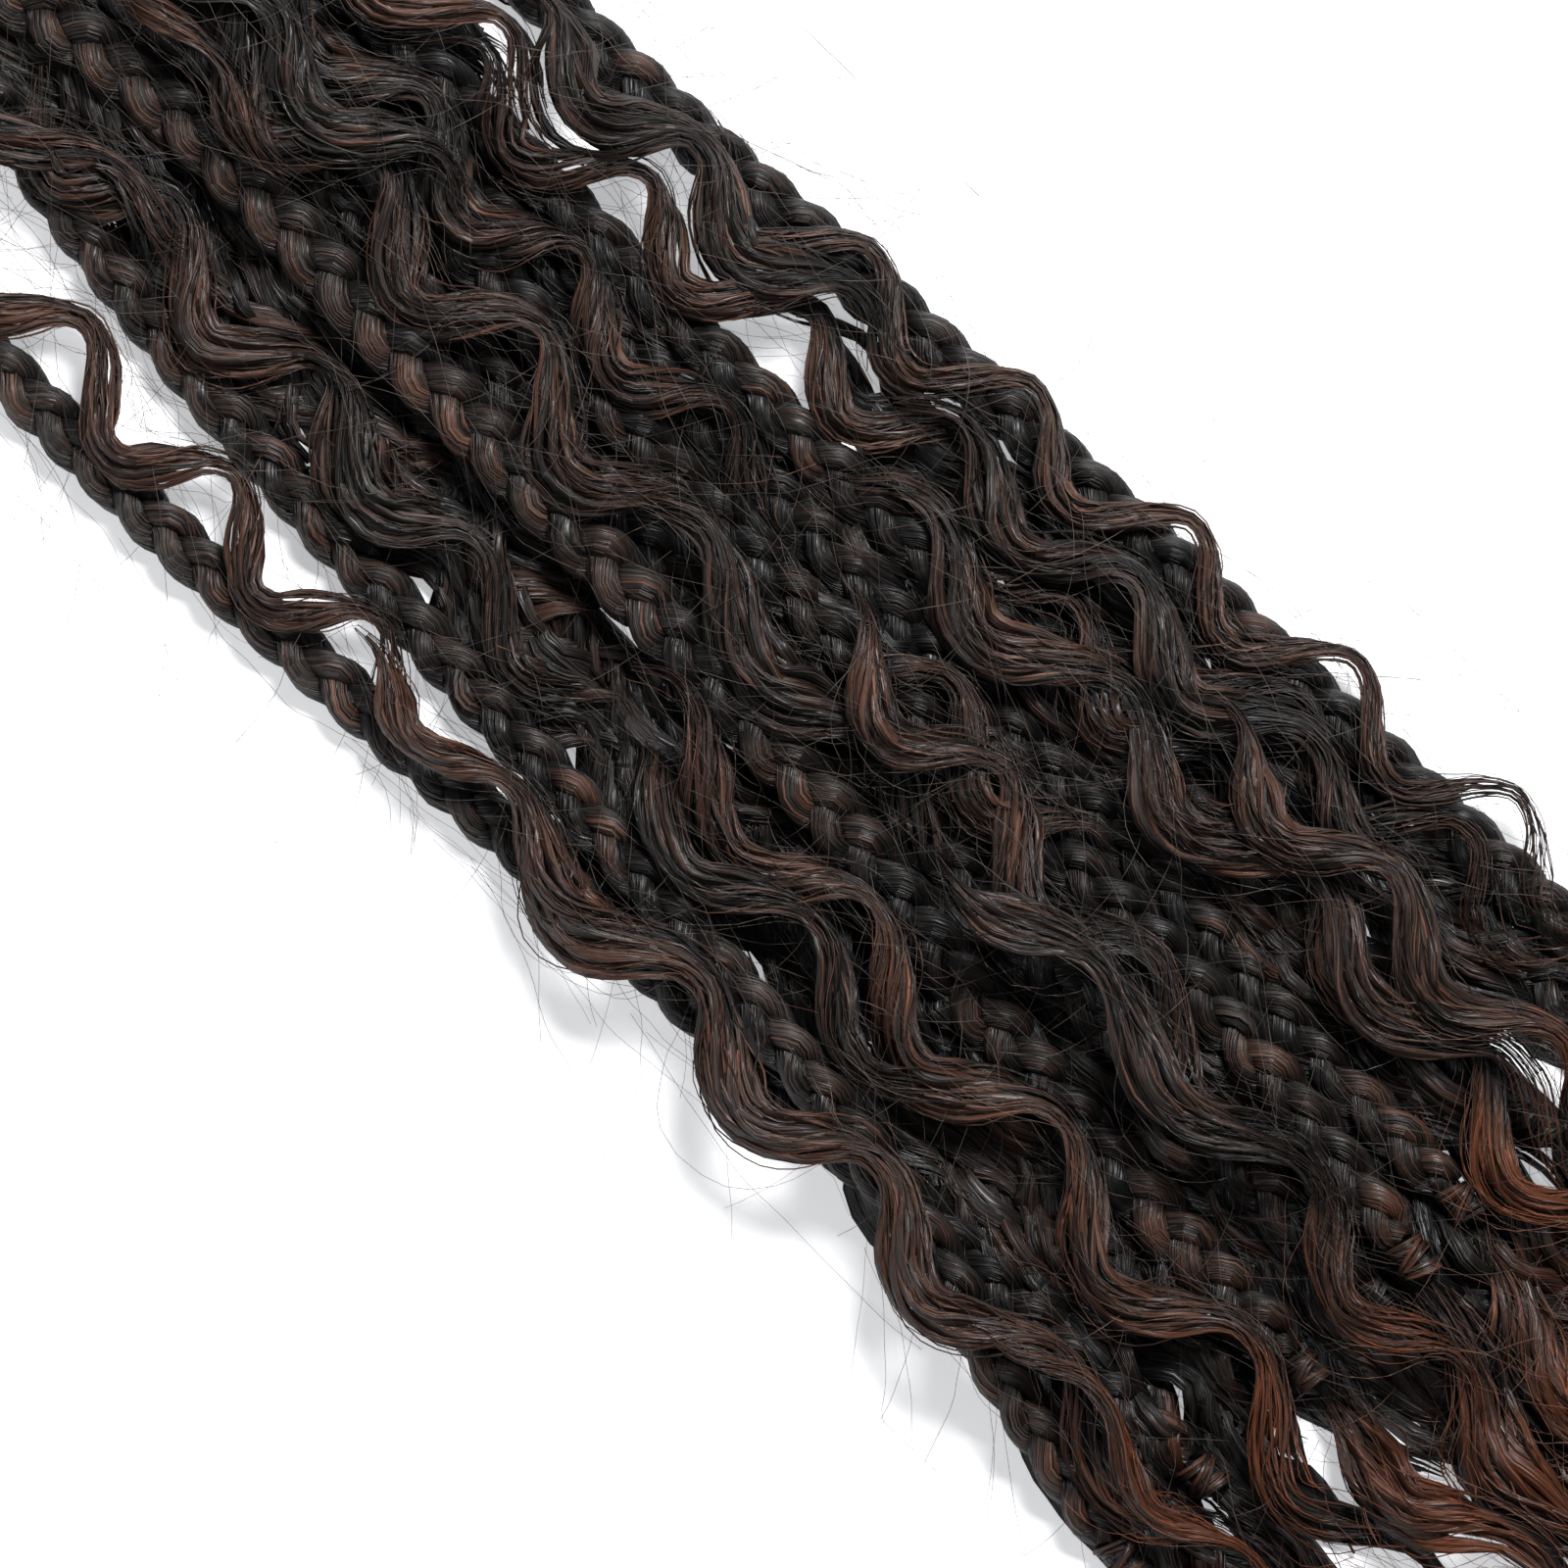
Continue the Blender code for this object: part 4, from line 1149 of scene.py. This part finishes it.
def strays(ground, relief, count, rng):
    """Single fly-away hairs that arch and wave over the pack and past its edges."""
    fibres = Fibres(relief)
    kernel = np.ones(2 * SMOOTHED + 1) / (2 * SMOOTHED + 1)
    for _ in range(count):
        length = rng.uniform(0.020, 0.070)
        steps = int(length / STRAY_STEP)
        share = np.linspace(0, 1, steps + 1)
        start = rng.uniform(0.04, 0.375)
        place = rng.uniform(-0.95, 1.0) * PACK_HALF
        heading = rng.normal(0.0, 0.45) + np.cumsum(rng.normal(0, 0.012, steps + 1))
        heading = heading + rng.normal(0, 1.0) * share
        x = start + np.cumsum(np.cos(heading)) * length / steps
        y = place + np.cumsum(np.sin(heading)) * length / steps
        y = y + wander(rng, share * length, rng.uniform(0.02, 0.05), rng.uniform(0.0003, 0.0014))
        y = np.clip(y, -STRAY_EDGE * PACK_HALF, STRAY_EDGE * PACK_HALF)
        padded = np.pad(ground.at(x, y), SMOOTHED, mode="edge")
        z = np.convolve(padded, kernel, mode="valid") + rng.uniform(0.0002, 0.0016)
        z = z + rng.uniform(0, 0.003) * np.sin(math.pi * share)
        course = np.stack((x, y, np.maximum(z, HAIR_LYING)), axis=1)
        _, across, _ = axes_along(course)
        warm = rng.uniform(-0.5, 0.1) + eased((x - 0.35) / 0.05) * 0.6
        radius = HAIR_RADIUS * rng.uniform(0.7, 1.15)
        fibres.tube(course, across, radius, radius, HAIR_SIDES, warm, HAIR_TONE, rng)
    return fibres


# Surface, light and camera


def build_stage():
    bpy.ops.mesh.primitive_plane_add(size=SURFACE_SIZE, location=(*VIEW_MIDDLE, 0.0))
    floor = bpy.context.object
    floor.name = "white_surface"
    material, _, shader = new_material("white surface")
    shader.inputs["Base Color"].default_value = (0.90, 0.90, 0.915, 1.0)
    shader.inputs["Roughness"].default_value = 0.7
    shader.inputs["Emission Color"].default_value = (0.96, 0.97, 1.0, 1.0)
    shader.inputs["Emission Strength"].default_value = 0.45
    floor.data.materials.append(material)
    world = bpy.data.worlds.new("studio")
    world.use_nodes = True
    sky = world.node_tree.nodes["Background"]
    sky.inputs["Color"].default_value = (1.0, 1.0, 1.0, 1.0)
    sky.inputs["Strength"].default_value = 0.15
    bpy.context.scene.world = world


def add_softbox(name, place, target, size, power):
    light = bpy.data.lights.new(name, "AREA")
    light.shape = "RECTANGLE"
    light.size, light.size_y = size
    light.energy = power
    lamp = add_object(name, light)
    lamp.location = place
    lamp.rotation_euler = (Vector(target) - place).to_track_quat("-Z", "Y").to_euler()


def add_camera():
    camera = bpy.data.cameras.new("view")
    camera.sensor_width = SENSOR
    camera.lens = SENSOR * (CAMERA_HEIGHT - VIEW_HEIGHT) / VIEW_WIDTH
    camera.clip_end = 20
    eye = add_object("view", camera)
    eye.location = (*VIEW_MIDDLE, CAMERA_HEIGHT)
    eye.rotation_euler = (0, 0, VIEW_TURN)
    bpy.context.scene.camera = eye


def light_and_view():
    bpy.context.scene.view_settings.view_transform = "Standard"
    middle = (*VIEW_MIDDLE, 0.0)
    right = Vector((math.cos(VIEW_TURN), math.sin(VIEW_TURN), 0))
    top = Vector((-math.sin(VIEW_TURN), math.cos(VIEW_TURN), 0))
    for name, (aside, ahead, above), size, power in LIGHTS:
        place = Vector(middle) + right * aside + top * ahead + Vector((0, 0, above))
        add_softbox(name, place, middle, size, power)
    add_camera()


# How copper and how light each kind of lock is, and the starts of the random draws
TAIL_WARM = 0.55
TAIL_TONE = 0.90
CURL_WARM = 0.38
CURL_TONE = 1.15
LOCK_TONE = 1.12
BRAID_SEED = 100
CURL_SEED = 300
LOCK_SEED = 400
FILLER_SEED = 500
STRAY_SEED = 700


def build_pack():
    group = make_fibre_group()
    looks = (BRAIDED, CURLED, COPPER_TAIL, STRAY)
    braid_hair, curl_hair, tail_hair, stray_hair = [make_hair(look, group) for look in looks]

    ground = lay_out_ground()
    strands = lay_strands(ground)
    curls = [lay_curl(ground, row) for row in CURLS]
    locks = [lay_curl(ground, row, start_width=0.15) for row in LOCKS]
    relief = ground.softened()

    for index, (braid, knot, tail) in strands.items():
        number = f"{index + 1:02d}"
        rng = np.random.default_rng(BRAID_SEED + index)
        plaited = Fibres(relief)
        plait(plaited, braid, index, rng)
        path, half, depth = spaced(braid, HAIR_STEP)
        warm = np.full(len(path), -0.2)
        stray_along(plaited, path, half, depth, BRAID_HAIRS, rng, warm, reach=1.2)
        plaited.make("braid_plait_" + number, braid_hair, "dark_hair", "braid_" + number)

        wrapped = Fibres(relief)
        wrap_knot(wrapped, knot, rng, KNOT_WARM)
        wrapped.make("knot_wrap_" + number, braid_hair, "dark_hair", "knot_" + number)

        loose = Fibres(relief)
        lock(loose, tail, TAIL_LOCK, warm_curl(TAIL_WARM, TAIL_COPPER_FROM), TAIL_TONE, rng)
        loose.make("tail_lock_" + number, tail_hair, "copper_hair", "tail_" + number)

        wound = Fibres(relief)
        wind_loop(wound, index, braid.z[0], rng)
        wound.make("loop_twist_" + number, braid_hair, "dark_hair", "loop_" + number)

    for number, route in enumerate(curls, start=1):
        rng = np.random.default_rng(CURL_SEED + number)
        curled = Fibres(relief)
        lock(curled, route, CURL_LOCK, warm_curl(CURL_WARM, CURL_COPPER_FROM), CURL_TONE, rng)
        curled.make(f"curl_lock_{number:02d}", curl_hair, "brown_hair", f"curl_{number:02d}")

    for number, (row, route) in enumerate(zip(LOCKS, locks), start=1):
        rng = np.random.default_rng(LOCK_SEED + number)
        route = route._replace(z=np.maximum(route.z - LOCK_SUNK, route.depth + LOCK_LYING))
        curled = Fibres(relief)
        lock(curled, route, FINE_LOCK, warm_curl(row.warm, CURL_COPPER_FROM), LOCK_TONE, rng)
        curled.make(f"fine_lock_{number:02d}", curl_hair, "brown_hair")

    rng = np.random.default_rng(FILLER_SEED)
    for name, hollows, kind in FILLERS:
        fill_hollows(relief, hollows, kind, rng).make(name, curl_hair, "brown_hair")
    flying = strays(ground, relief, STRAYS, np.random.default_rng(STRAY_SEED))
    flying.make("stray_hairs", stray_hair, "dark_hair")
    weave_band(make_elastic())


build_stage()
light_and_view()
build_pack()
